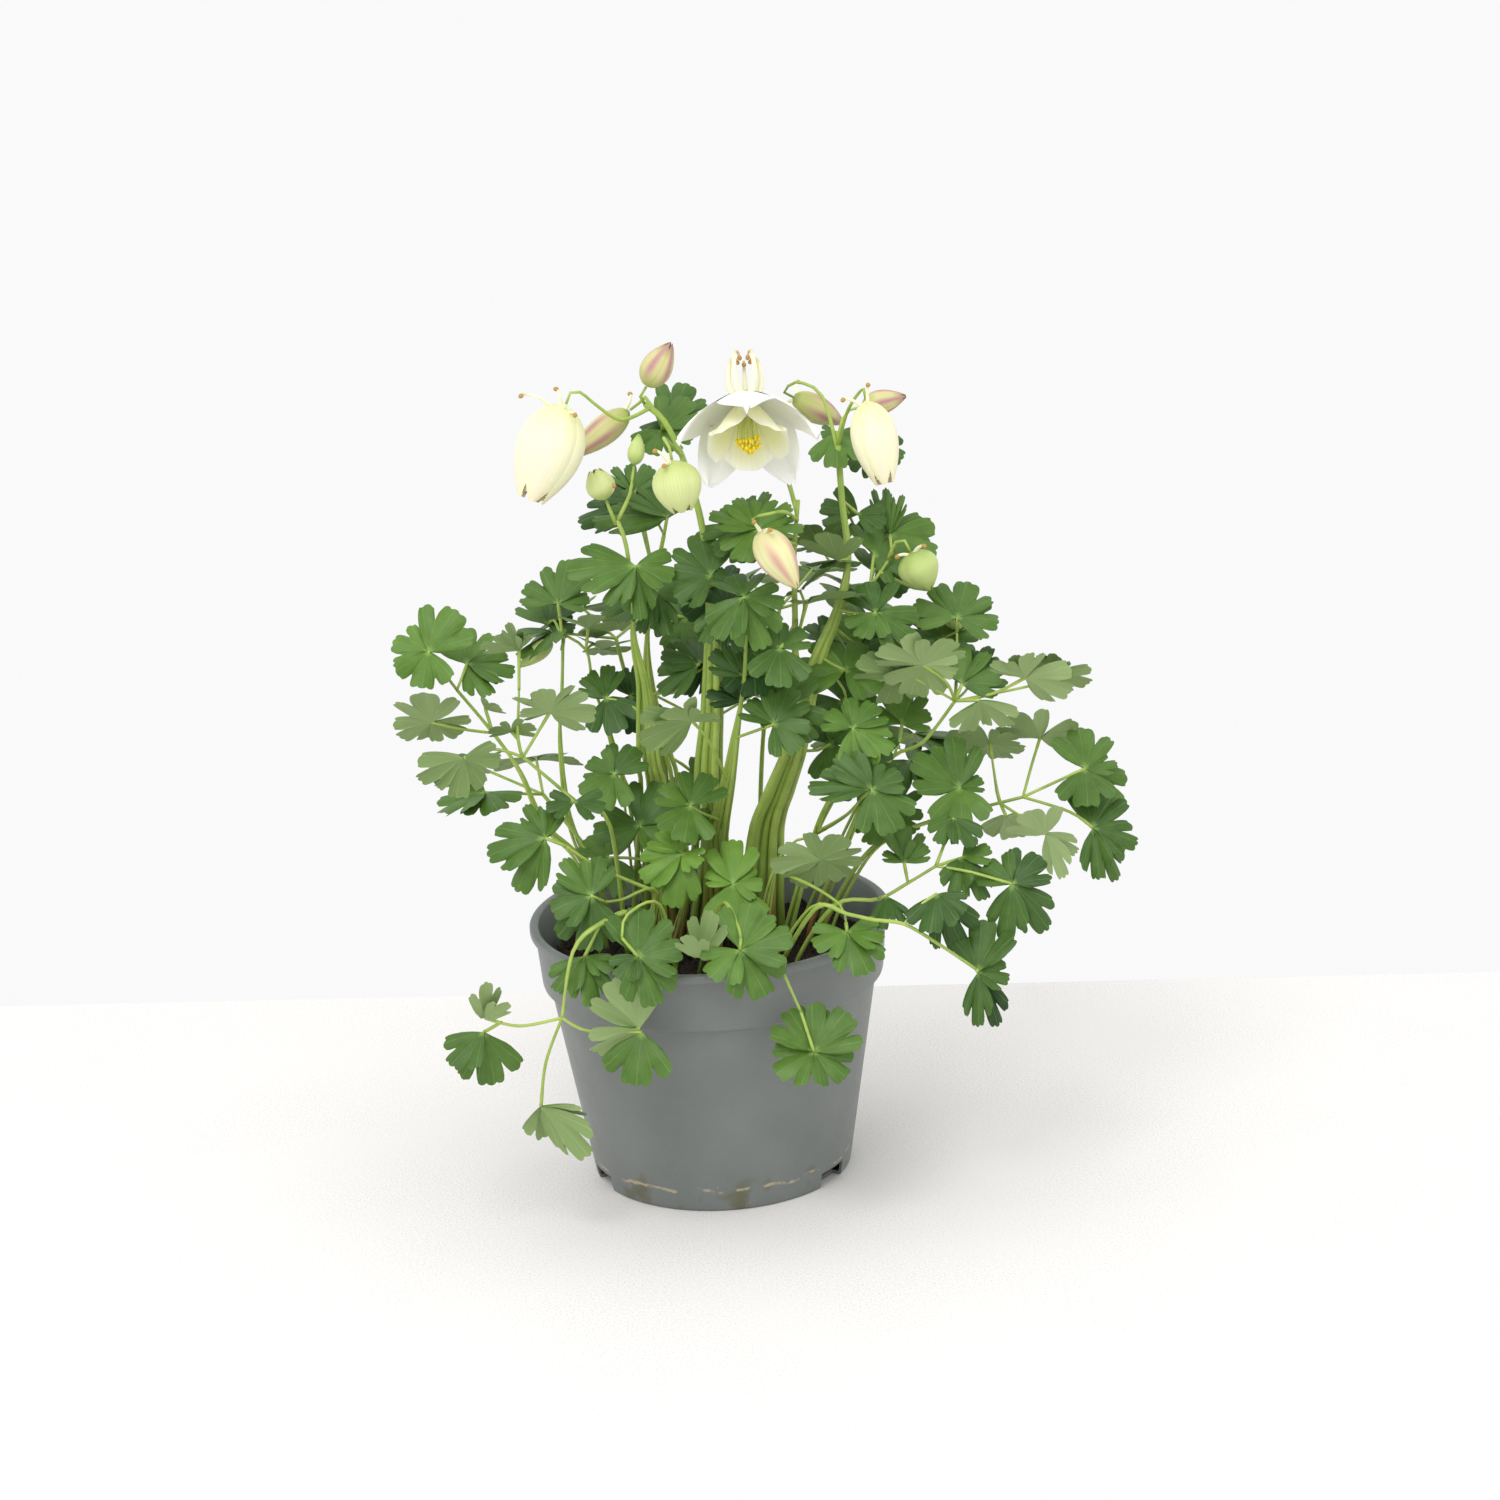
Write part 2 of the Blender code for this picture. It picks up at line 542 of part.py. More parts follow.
def thick_sheet(name, places, normals, faces, edge, pieces):
    """Both faces of a thin sheet alike, and the wall round its edge."""
    half = BLADE_THICK / 2
    count = len(places)
    points = [p + n * half for p, n in zip(places, normals)] + [p - n * half for p, n in zip(places, normals)]
    every = list(faces) + [(c + count, b + count, a + count) for a, b, c in faces]
    for k, first in enumerate(edge):
        second = edge[(k + 1) % len(edge)]
        every += [(first, first + count, second + count), (first, second + count, second)]
    return solid(name, points, every, pieces)


def blade(name, base, tip, facing, pieces, width=1.0, outline=HALF_LEAF, rise=CUP):
    """One thin arched blade."""
    places, normal = outline_places(base, tip, facing, width, outline, rise)
    count = len(places)
    return thick_sheet(name, places, [normal] * count, ribbon_faces(count), list(range(count)), pieces)


def leaf_sheet(name, joint, tips, facing, pieces, width=1.0):
    """Leaflets round one joint as one sheet, the widest space between them left open."""
    up = facing.normalized()
    side = up.orthogonal().normalized()
    other = up.cross(side)
    turns = sorted((atan2((t - joint).dot(other), (t - joint).dot(side)), k) for k, t in enumerate(tips))
    spaces = [(turns[(k + 1) % len(turns)][0] - turns[k][0]) % (2 * pi) for k in range(len(turns))]
    first = (spaces.index(max(spaces)) + 1) % len(turns)
    order = [turns[(first + k) % len(turns)][1] for k in range(len(turns))]
    places, normals, faces, edge = [joint], [up], [], [0]
    count = 2 * len(HALF_LEAF)
    for k, which in enumerate(order):
        heading = tips[which] - joint
        spread = min([heading.angle(tips[other] - joint) for other in order if other != which] + [pi / 2])
        outline, normal = outline_places(joint, tips[which], facing, min(width, 1.3 * tan(spread / 2)))
        start = len(places)
        places += outline
        normals += [up] + [normal] * (count - 2) + [up]
        faces += [tuple(v + start for v in face) for face in ribbon_faces(count)]
        faces.append((0, start + count - 1, start))
        if k:
            faces.append((0, start, start - 1))
        edge += range(start, start + count)
    return thick_sheet(name, places, normals, faces, edge, pieces)


def leaf_end(joint, face, across, down, depth):
    """A leaflet's tip: the nearer its drawn length is to its true one, the less it turns from the sheet."""
    flat = on_sheet(across, down, depth)
    drawn = flat - joint
    rest = max(LEAFLET ** 2 - drawn.length ** 2, 0) ** 0.5
    lean = drawn.normalized().z * {"T": 1, "U": -1, "E": 0}[face]
    return joint + drawn + Vector((0, 1, 0)) * rest * lean * 0.8


LEAFLET = 0.030
MOST_LEAFLETS = 3
KEEP_FACES = 0.70


def add_leaf(name, face, line, tips, pieces):
    """A stalklet with its leaflets round its end."""
    places = [on_sheet(*p) for p in line]
    joint = places[-1]
    reach = (places[-1] - places[-2]).normalized() * 0.0004
    places[0] = places[0] - (places[1] - places[0]).normalized() * 0.0007
    tube(name + "_stalklet", smooth_line(places[:-1] + [joint + reach]), STALKLET_R, pieces, 0.88)
    ends = [leaf_end(joint, face, across, down, line[-1][2]) for across, down in tips[:MOST_LEAFLETS]]
    leaf_sheet(name, joint, ends, FACES[face], pieces, 1.05 if len(tips) < 4 else 0.9)


def add_stalk(name, foot, thickness, line, pieces):
    places = [on_sheet(*p) for p in line]
    if foot:
        x, y = foot
        start = [Vector((x * MM, y * MM, SOIL_TOP - FOOT_DEPTH)), Vector((x * MM, y * MM, SOIL_TOP + 0.006))]
        FEET.append((name, x * MM, y * MM, thickness * MM))
        places = start + places
    tube(name, smooth_line(places), thickness * MM, pieces, 0.7, 1 if thickness > 2.5 else 0)


def add_own_stalk(name, line, head, axis, pieces):
    """A bud's stalk, which runs up to the bud's base along its axis."""
    places = [on_sheet(*p) for p in line] + [head - axis * 0.006, head]
    tube(name + "_own_stalk", smooth_line(places, 0.012), STALKLET_R, pieces, 1.0)


def bud_axis(base, tip):
    return (on_sheet(*tip) - on_sheet(*base)).normalized()


FEET = []
BLOOM_CENTRE = on_sheet(*BLOOM_AT)

# %% Fronds and leafy stems seen from the front

for node, entry in FOLIAGE.items():
    group = pieces_for(node)
    for k, (foot, thickness, line) in enumerate(entry["stalks"]):
        add_stalk(f"{node}_stalk_{k}", foot, thickness, line, group)
    for k, (face, line, tips) in enumerate(entry["leaves"]):
        add_leaf(f"{node}_leaf_{k}", face, line, tips, group)
    for name, (base, tip, _, _, _, grows_on, line) in BUDS.items():
        if grows_on == node:
            add_own_stalk(name, line, on_sheet(*base), bud_axis(base, tip), group)
    if BLOOM_STALK[0] == node:
        add_own_stalk("open_bloom", BLOOM_STALK[1], BLOOM_CENTRE - BLOOM_FACING * STALK_GAP, BLOOM_FACING,
            group)
    joined(node, group, "leaf")

# %% Fronds at the back, each with three leaves of three leaflets

chance = random.Random(5)
for k, (bearing, height, reach) in enumerate(BACK_FRONDS):
    node = f"frond_back_{k + 1}"
    group = pieces_for(node)
    turn = radians(bearing)
    outward = Vector((cos(turn), sin(turn), 0))
    sideways = Vector((-sin(turn), cos(turn), 0))
    foot = outward * 0.046
    fork = outward * (reach * 0.72 * MM) + Vector((0, 0, SOIL_TOP + height * 0.93 * MM))
    start = Vector((foot.x, foot.y, SOIL_TOP - FOOT_DEPTH))
    FEET.append((node, foot.x, foot.y, PETIOLE_R))
    middle = outward * (reach * 0.52 * MM) + Vector((0, 0, SOIL_TOP + height * 0.55 * MM))
    line = smooth_line([start, start + Vector((0, 0, 0.018)), middle, fork])
    tube(node + "_petiole", line, PETIOLE_R, group, 0.75)
    for j, side in enumerate((-1, 0, 1)):
        joint = fork + outward * ((0.30 - 0.16 * abs(side)) * reach * MM) + sideways * (side * 0.030)
        joint = joint + Vector((0, 0, 0.010 - 0.004 * abs(side) + 0.003 * (k % 3)))
        reach_out = (joint - fork).normalized()
        tube(f"{node}_stalklet_{j}", [fork - reach_out * 0.0007 + outward * 0.0002,
            joint + reach_out * 0.0004], STALKLET_R, group, 0.88)
        ends = []
        for m in (-1, 0, 1):
            turned_by = m * SIDE_LEAFLET_TURN * chance.uniform(0.62, 0.8)
            heading = Matrix.Rotation(turned_by, 3, "Z") @ Vector((reach_out.x, reach_out.y, 0)).normalized()
            size = LEAFLET * (1 if m == 0 else SIDE_LEAFLET_SIZE)
            ends.append(joint + heading * size * 0.96 + Vector((0, 0, chance.uniform(-0.42, -0.12) * size)))
        leaf_sheet(f"{node}_{j}", joint, ends, Vector((0, 0, 1)) + reach_out * 0.3, group)
    joined(node, group, "leaf")

# %% Buds and closed blooms

BUD_RINGS = ((0.0, 0.34), (0.20, 0.95), (0.62, 0.92), (1.0, 0.14))
BUD_SIDES = 8


for node, (base, tip, half_width, spurs, tint, _, _) in BUDS.items():
    group = pieces_for(node)
    low, high = on_sheet(*base), on_sheet(*tip)
    axis = bud_axis(base, tip)
    low = low + axis * STALK_GAP
    first = axis.cross(Vector((0.3, 1, 0.2))).normalized()
    second = axis.cross(first)
    radius = half_width * 0.5257 * MM
    points, faces = [], []
    for share, size in BUD_RINGS:
        for k in range(BUD_SIDES):
            a = 2 * pi * k / BUD_SIDES
            ridge = 1.0 if k % 2 == 0 else 0.86
            points.append(low.lerp(high,
                share) + (first * cos(a) + second * sin(a)) * (radius * size * ridge))
    for r in range(len(BUD_RINGS) - 1):
        for k in range(BUD_SIDES):
            n = (k + 1) % BUD_SIDES
            a, b = r * BUD_SIDES, (r + 1) * BUD_SIDES
            faces.append((a + k, a + n, b + n, b + k))
    faces.append(tuple(range(BUD_SIDES)))
    faces.append(tuple(range((len(BUD_RINGS) - 1) * BUD_SIDES, len(BUD_RINGS) * BUD_SIDES)))
    solid(node + "_body", points, faces, group)
    for k, spur in enumerate(spurs):
        end = on_sheet(*spur)
        root = low.lerp(high, 0.16)
        bend = (root + end) / 2 - axis * 0.003
        tube(f"{node}_spur_{k}", smooth_line([root, bend, end], 0.006), 0.0016, group, 0.55)
    joined(node, group, tint)

# %% Open bloom: sepals, the cup of petals with its spurs, and the stamens

centre = BLOOM_CENTRE
side = BLOOM_FACING.cross(Vector((0, 0, 1))).normalized()
top = side.cross(BLOOM_FACING)
SEPAL = ((0.10, 0.0, 0.0), (0.42, 0.30, 0.5), (0.50, 0.60, 0.6), (0.32, 0.84, 0.3), (0.05, 1.0, 0.0))
group = pieces_for("bloom_petals")
for k in range(5):
    a = 2 * pi * k / 5 + pi / 2
    out = side * cos(a) + top * sin(a)
    start = centre + out * 0.0020 + BLOOM_FACING * 0.0012
    end = centre + (out * SEPAL_OUT + BLOOM_FACING * SEPAL_FORWARD) * SEPAL_LENGTH
    blade(f"sepal_{k}", start, end, BLOOM_FACING, group, SEPAL_WIDTH / SEPAL_LENGTH, SEPAL, -0.10)
    a += pi / 5
    out = side * cos(a) + top * sin(a)
    line = [centre + out * 0.0030 + BLOOM_FACING * 0.0020, centre + out * 0.0085 - BLOOM_FACING * 0.012,
            centre + out * 0.0075 - BLOOM_FACING * SPUR_LENGTH]
    tube(f"spur_{k}", smooth_line(line, 0.010), 0.0019, group, 0.5)
points, faces = [], []
CUP = ((0.0042, 0.0), (0.0110, 0.010), (CUP_RADIUS, CUP_DEPTH), (CUP_RADIUS - 0.0008, CUP_DEPTH),
       (0.0100, 0.0106), (0.0030, 0.0026))
for radius, height in CUP:
    for k in range(CUP_STEPS):
        a = 2 * pi * k / CUP_STEPS - pi / 10
        lobe = 1 + (0.08 * cos(5 * (a + pi / 10)) if height > 0.02 else 0)
        lift = 0.0025 * cos(5 * (a + pi / 10)) if height > 0.02 else 0
        points.append(centre + (side * cos(a) + top * sin(a)) * radius * lobe + BLOOM_FACING * (height + lift))
for r in range(len(CUP) - 1):
    for k in range(CUP_STEPS):
        n = (k + 1) % CUP_STEPS
        low, high = r * CUP_STEPS, (r + 1) * CUP_STEPS
        faces.append((low + k, low + n, high + n, high + k))
faces.append(tuple(range(CUP_STEPS)))
faces.append(tuple(range((len(CUP) - 1) * CUP_STEPS, len(CUP) * CUP_STEPS)))
solid("cup", points, faces, group)
joined("bloom_petals", group, "petal_white")
group = pieces_for("bloom_stamens")
tube("column", [centre + BLOOM_FACING * 0.0030, centre + BLOOM_FACING * 0.014], 0.0022, group, 1.1, 1)
for k in range(STAMENS):
    a = 2 * pi * k / STAMENS
    out = side * cos(a) + top * sin(a)
    line = [centre + BLOOM_FACING * 0.010 + out * 0.0012,
        centre + BLOOM_FACING * (0.028 + 0.002 * (k % 2)) + out * 0.0052]
    tube(f"stamen_{k}", line, 0.0006, group, 1.3)
joined("bloom_stamens", group, "stamen")

# %% Pot and soil


def turned(name, profile, steps, collection):
    """A solid of revolution about the pot's axis."""
    points, faces = [], []
    for radius, height in profile:
        for k in range(steps):
            a = 2 * pi * k / steps
            points.append((radius * cos(a), radius * sin(a), height))
    for r in range(len(profile) - 1):
        for k in range(steps):
            n = (k + 1) % steps
            faces.append((r * steps + k, r * steps + n, (r + 1) * steps + n, (r + 1) * steps + k))
    faces.append(tuple(range(steps)))
    faces.append(tuple(range((len(profile) - 1) * steps, len(profile) * steps)))
    return solid(name, points, faces, collection)


def keep_as_cutter(thing):
    for collection in list(thing.users_collection):
        collection.objects.unlink(thing)
    CUTTERS.objects.link(thing)


def cut(thing, cutter):
    modifier = thing.modifiers.new(cutter.name, "BOOLEAN")
    modifier.operation = "DIFFERENCE"
    modifier.solver = "EXACT"
    modifier.object = cutter
    cutter.display_type = "WIRE"
    cutter.hide_render = True


under = POT_HEIGHT - COLLAR_HEIGHT
collar_r = POT_RIM_R - 0.0050
body_r = collar_r - COLLAR_STEP
inner_base = POT_BASE_R - POT_WALL
profile = [
    (POT_BASE_R - 0.0016, 0.0), (POT_BASE_R, 0.0016), (body_r, under - 0.003),
    (collar_r - 0.0012, under), (collar_r, under + 0.0015), (POT_RIM_R - LIP, POT_HEIGHT - 0.0045),
    (POT_RIM_R, POT_HEIGHT - 0.0035), (POT_RIM_R, POT_HEIGHT),
    (POT_RIM_R - LIP - POT_WALL, POT_HEIGHT), (collar_r - POT_WALL - 0.0012, under + 0.005),
    (body_r - POT_WALL - 0.0002, under - 0.006), (inner_base, FLOOR_THICK),
]
pot = turned("pot", profile, POT_STEPS, PLANT)
colour(pot, "pot")
for turn_deg in NOTCH_TURNS:
    a = radians(turn_deg)
    bpy.ops.mesh.primitive_cube_add(size=1)
    notch = bpy.context.object
    notch.name = f"drain_{turn_deg}"
    notch.dimensions = (NOTCH_DEPTH * 2, NOTCH_WIDTH, NOTCH_HEIGHT * 2)
    notch.location = (cos(a) * POT_BASE_R, sin(a) * POT_BASE_R, 0)
    notch.rotation_euler = (0, 0, a)
    keep_as_cutter(notch)
    cut(pot, notch)


def inner_radius(height):
    """The pot's inside at this height, less the gap to the soil."""
    share = (height - FLOOR_THICK) / (under - 0.006 - FLOOR_THICK)
    if share <= 1:
        return inner_base + (body_r - POT_WALL - 0.0002 - inner_base) * share - CLEARANCE
    share = (height - under + 0.006) / 0.011
    return body_r - POT_WALL - 0.0002 + (collar_r - 0.001 - body_r) * min(share, 1) - CLEARANCE


soil = turned("soil", [
    (inner_radius(SOIL_BOTTOM), SOIL_BOTTOM), (inner_radius(under - 0.007), under - 0.007),
    (inner_radius(under - 0.007) - 0.001, SOIL_TOP - 0.003), (0.060, SOIL_TOP),
], POT_STEPS, PLANT)
colour(soil, "soil")
for name, x, y, thickness in FEET:
    bpy.ops.mesh.primitive_cylinder_add(vertices=4, radius=(thickness + CLEARANCE) * 1.5, depth=0.030)
    hole = bpy.context.object
    hole.name = name + "_hole"
    hole.location = (x, y, SOIL_TOP - FOOT_DEPTH - CLEARANCE + 0.015)
    keep_as_cutter(hole)
    cut(soil, hole)
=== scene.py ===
# %% [markdown]
# # A white columbine in its nursery pot
#
# This scene dresses a plain solid model of the plant. Each cell builds one kind of thing: stalks,
# leaflets, buds, the open bloom, the pot and the soil. Every frond is laid out on a front sheet,
# as (across, down, depth): where a point is drawn, in sheet pixels, and how far it lies behind
# the pot's axis, in millimetres.

# %% Modules and the plain model
import random

import bpy
import numpy as np
from math import cos, pi, radians, sin
from mathutils import Matrix, Vector


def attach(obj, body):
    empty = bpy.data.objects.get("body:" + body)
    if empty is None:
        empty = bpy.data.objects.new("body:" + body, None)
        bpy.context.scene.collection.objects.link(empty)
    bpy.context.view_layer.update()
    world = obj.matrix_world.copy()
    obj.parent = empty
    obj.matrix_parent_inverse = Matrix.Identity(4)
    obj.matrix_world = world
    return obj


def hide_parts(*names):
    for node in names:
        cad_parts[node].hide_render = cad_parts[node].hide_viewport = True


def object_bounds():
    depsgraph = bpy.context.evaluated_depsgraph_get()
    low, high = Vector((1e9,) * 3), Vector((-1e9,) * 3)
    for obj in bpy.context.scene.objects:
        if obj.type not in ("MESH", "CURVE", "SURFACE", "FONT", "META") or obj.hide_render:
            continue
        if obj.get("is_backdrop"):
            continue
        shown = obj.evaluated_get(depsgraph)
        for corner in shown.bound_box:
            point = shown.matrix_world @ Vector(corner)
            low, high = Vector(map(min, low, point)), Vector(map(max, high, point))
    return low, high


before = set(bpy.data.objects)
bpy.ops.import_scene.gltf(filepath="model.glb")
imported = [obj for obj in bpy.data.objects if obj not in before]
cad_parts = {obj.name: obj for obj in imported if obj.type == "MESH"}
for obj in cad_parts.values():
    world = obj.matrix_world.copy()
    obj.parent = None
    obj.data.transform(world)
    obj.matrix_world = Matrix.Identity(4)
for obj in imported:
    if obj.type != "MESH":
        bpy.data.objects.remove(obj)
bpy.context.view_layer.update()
MM = 0.001
print("plain model:", len(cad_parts), "nodes")

# %% [markdown]
# ## The front sheet
# A camera 1.9 m from the rim looks 17 degrees down, rolled by 3 degrees. `on_sheet` sends a ray
# through a sheet pixel and stops it on the upright plane at the given depth.

# %% Camera geometry
POT_RIM_R, POT_BASE_R, POT_HEIGHT = 0.095, 0.0685, 0.140
SOIL_TOP = 0.120
SHEET_MIDDLE, SHEET_SCALE, SHEET_SIDE = 750.0, 3614.0, 1500.0
LOOK_DOWN, SHEET_ROLL, EYE_DISTANCE = radians(17), radians(3), 1.90
RIM_ON_SHEET = (710.0, 913.0)


def sheet_axes():
    """The eye's place and its forward, right and up directions, from the look-down and roll angles."""
    forward = Vector((0, cos(LOOK_DOWN), -sin(LOOK_DOWN)))
    right = Matrix.Rotation(SHEET_ROLL, 3, forward) @ Vector((1, 0, 0))
    up = right.cross(forward)
    across = (RIM_ON_SHEET[0] - SHEET_MIDDLE) / SHEET_SCALE
    down = (RIM_ON_SHEET[1] - SHEET_MIDDLE) / SHEET_SCALE
    ray = forward + right * across - up * down
    return Vector((0, 0, POT_HEIGHT)) - ray * EYE_DISTANCE, forward, right, up


EYE, FORWARD, RIGHT, UP = sheet_axes()


def on_sheet(across, down, depth):
    """eye + t * ray, where t puts the point on the plane y = depth."""
    ray = FORWARD + RIGHT * ((across - SHEET_MIDDLE) / SHEET_SCALE)
    ray = ray - UP * ((down - SHEET_MIDDLE) / SHEET_SCALE)
    return EYE + ray * ((depth * MM - EYE.y) / ray.y)


print("eye at", [round(v, 3) for v in EYE])

# %% [markdown]
# ## Materials
# Colours are written as sRGB hex codes and turned into linear light. Every pattern is scaled in
# real millimetres, because the objects stay unscaled at the origin.

# %% Material helpers


def linear(code):
    """c / 12.92 below 0.04045, else ((c + 0.055) / 1.055) ** 2.4, for each channel of '#rrggbb'."""
    values = [int(code[k:k + 2], 16) / 255 for k in (1, 3, 5)]
    return tuple(c / 12.92 if c <= 0.04045 else ((c + 0.055) / 1.055) ** 2.4 for c in values) + (1.0,)


def put(tree, value, socket):
    """Links a socket to this input, or writes a value there: a number, a vector or the code of a colour."""
    if isinstance(value, bpy.types.NodeSocket):
        tree.links.new(value, socket)
    else:
        socket.default_value = linear(value) if isinstance(value, str) else value


def add_node(tree, kind, settings=None, **links):
    """Adds one node, sets its attributes and fills its inputs, each named or given as i and its number."""
    node = tree.nodes.new("ShaderNode" + kind)
    for name, value in (settings or {}).items():
        setattr(node, name, value)
    for name, value in links.items():
        put(tree, value, node.inputs[int(name[1:]) if name[1:].isdigit() else name])
    return node


def maths(tree, operation, *values):
    """The result of one arithmetic node on sockets or numbers."""
    links = {f"i{k}": value for k, value in enumerate(values)}
    return add_node(tree, "Math", {"operation": operation}, **links).outputs[0]


def times(tree, product, *factors):
    """The product of sockets and numbers."""
    for factor in factors:
        product = maths(tree, "MULTIPLY", product, factor)
    return product


def new_material(name):
    """An empty material and its surface: (material, tree, Principled node)."""
    material = bpy.data.materials.new(name)
    material.use_nodes = True
    return material, material.node_tree, material.node_tree.nodes["Principled BSDF"]


def mixed(tree, factor, first, second):
    """A colour mix; each argument is a socket or a value."""
    return add_node(tree, "Mix", {"data_type": "RGBA"}, i0=factor, i6=first, i7=second).outputs[2]


def noise(tree, per_mm, detail=3.0):
    """Noise in object space; per_mm is how many of its cells fit in a millimetre."""
    place = add_node(tree, "TexCoord").outputs["Object"]
    return add_node(tree, "TexNoise", Vector=place, Scale=per_mm / MM, Detail=detail).outputs["Fac"]


def ramp(tree, factor, low, high, first=0.0, last=1.0):
    """Runs from first, where factor is low, to last, where it is high, and stays between them."""
    return add_node(tree, "MapRange", {"clamp": True}, i0=factor, i1=low, i2=high, i3=first, i4=last).outputs[0]


def stripes(tree, across, count, width, strength=1.0):
    """Thin lines wherever across * count is a whole number."""
    wave = maths(tree, "PINGPONG", times(tree, across, count), 0.5)
    return ramp(tree, wave, 0.0, width, strength, 0.0)


def attribute(tree, name):
    return add_node(tree, "Attribute", {"attribute_name": name}).outputs["Fac"]


def dress(tree, surface, paint, roughness, relief=None, depth=None):
    """Fills in the surface: its colour, its roughness, its relief as (height, strength, metres) and how far
    light goes into it, as (weight, metres for red, green and blue)."""
    put(tree, paint, surface.inputs["Base Color"])
    put(tree, roughness, surface.inputs["Roughness"])
    if relief:
        bump = add_node(tree, "Bump", Height=relief[0], Strength=relief[1], Distance=relief[2])
        put(tree, bump.outputs[0], surface.inputs["Normal"])
    if depth:
        surface.inputs["Subsurface Weight"].default_value = depth[0]
        surface.inputs["Subsurface Radius"].default_value = depth[1]


def leaf_material():
    """Green above and grey-green below, with pale veins that spread from the leaflet's base."""
    material, tree, surface = new_material("Columbine leaf")
    tone = attribute(tree, "tone")
    under = attribute(tree, "under")
    # tone runs from dark to light green: partly each leaflet's own tone, partly painted light and shade set per
    # node and for leaves behind
    top = mixed(tree, tone, "#1f3f14", "#679030")
    mottle = ramp(tree, noise(tree, 0.12), 0.35, 0.7)
    top = mixed(tree, mottle, top, mixed(tree, tone, "#2b4f20", "#759c3c"))
    below = mixed(tree, tone, "#64803f", "#a0b67c")
    uv = add_node(tree, "UVMap").outputs[0]
    parts = add_node(tree, "SeparateXYZ", i0=uv)
    wander = times(tree, noise(tree, 0.35), 0.035)
    across = maths(tree, "ADD", parts.outputs[0], wander)
    fine = times(tree, stripes(tree, across, 18.0, 0.10), ramp(tree, parts.outputs[1], 0.35, 0.8), 0.3)
    veins = maths(tree, "MAXIMUM", stripes(tree, across, 6.0, 0.055), fine)
    veins_soft = times(tree, veins, 0.30)
    top = mixed(tree, veins_soft, top, "#86b052")
    below = mixed(tree, veins_soft, below, "#b4cf9c")
    base = ramp(tree, parts.outputs[1], 0.16, 0.0)
    top = mixed(tree, base, top, "#8fb25c")
    rough = maths(tree, "MULTIPLY_ADD", under, 0.2, 0.48)
    surface.inputs["Specular IOR Level"].default_value = 0.35
    dress(tree, surface, mixed(tree, under, top, below), rough, (veins, 0.18, 0.0003),
          (0.12, (0.0006, 0.0012, 0.0003)))
    return material


def stalk_material():
    """Yellow-green, darker and redder towards the soil."""
    material, tree, surface = new_material("Columbine stalk")
    tone = attribute(tree, "tone")
    place = add_node(tree, "TexCoord").outputs["Object"]
    parts = add_node(tree, "SeparateXYZ", i0=place)
    flat = add_node(tree, "CombineXYZ", i0=parts.outputs[0], i1=parts.outputs[1])
    off = add_node(tree, "VectorMath", {"operation": "LENGTH"}, i0=flat.outputs[0]).outputs[1]
    low = times(tree, ramp(tree, parts.outputs[2], 0.165, 0.125), ramp(tree, off, 0.066, 0.056))
    paint = mixed(tree, tone, "#76962e", "#b4c862")
    paint = mixed(tree, ramp(tree, noise(tree, 0.10), 0.4, 0.75), paint, "#8ba848")
    reddish = ramp(tree, attribute(tree, "red"), 0.0, 1.0)
    paint = mixed(tree, low, paint, mixed(tree, reddish, "#6a8434", "#8a5a38"))
    dress(tree, surface, paint, 0.45, None, (0.15, (0.0010, 0.0014, 0.0004)))
    return material


def petal_material(name, base, middle, tip, vein="#d8dca8", band=None):
    """Petal tissue whose colour runs from base to middle to tip, with faint lengthwise veins and, on
    buds, a flushed band down the middle."""
    material, tree, surface = new_material(name)
    parts = add_node(tree, "SeparateXYZ", i0=add_node(tree, "UVMap").outputs[0])
    along = parts.outputs[1]
    paint = mixed(tree, ramp(tree, along, 0.0, 0.4), base, middle)
    paint = mixed(tree, ramp(tree, along, 0.72, 1.0), paint, tip)
    if band:
        aside = maths(tree, "PINGPONG", parts.outputs[0], 0.5)
        flush = times(tree, ramp(tree, aside, 0.24, 0.46), ramp(tree, along, 0.08, 0.45))
        paint = mixed(tree, flush, paint, band)
    line = stripes(tree, parts.outputs[0], 9.0, 0.14, 0.35)
    paint = mixed(tree, line, paint, vein)
    dress(tree, surface, paint, 0.55, (line, 0.2, 0.0003), (0.35, (0.003, 0.003, 0.002)))
    return material


def plain_material(name, code, roughness):
    material, tree, surface = new_material(name)
    dress(tree, surface, code, roughness)
    return material


def pot_material():
    """Moulded grey plastic with fine scuffs, and stains and algae low on the wall."""
    material, tree, surface = new_material("Moulded grey plastic")
    place = add_node(tree, "TexCoord").outputs["Object"]
    height = add_node(tree, "SeparateXYZ", i0=place).outputs[2]
    paint = mixed(tree, ramp(tree, noise(tree, 0.03, 4.0), 0.35, 0.7), "#6d7270", "#747977")
    scuffs = times(tree, ramp(tree, noise(tree, 0.9, 6.0), 0.60, 0.75), 0.25)
    paint = mixed(tree, scuffs, paint, "#8d9294")
    low = ramp(tree, height, 0.026, 0.010)
    patches = ramp(tree, noise(tree, 0.055, 8.0), 0.54, 0.66)
    paint = mixed(tree, times(tree, low, patches, 0.75), paint, "#5b5a38")
    wavy = maths(tree, "MULTIPLY_ADD", noise(tree, 0.06, 4.0), 0.010, 0.007)
    gap = maths(tree, "ABSOLUTE", maths(tree, "SUBTRACT", height, wavy))
    crust = times(tree, ramp(tree, gap, 0.0011, 0.0004), ramp(tree, noise(tree, 0.11), 0.48, 0.56))
    paint = mixed(tree, crust, paint, "#a89e84")
    specks = times(tree, ramp(tree, noise(tree, 0.5, 2.0), 0.72, 0.76), low)
    paint = mixed(tree, specks, paint, "#a08a5c")
    rough = ramp(tree, noise(tree, 0.2), 0.0, 1.0, 0.36, 0.50)
    dress(tree, surface, paint, rough, (noise(tree, 1.2, 4.0), 0.12, 0.0002))
    return material


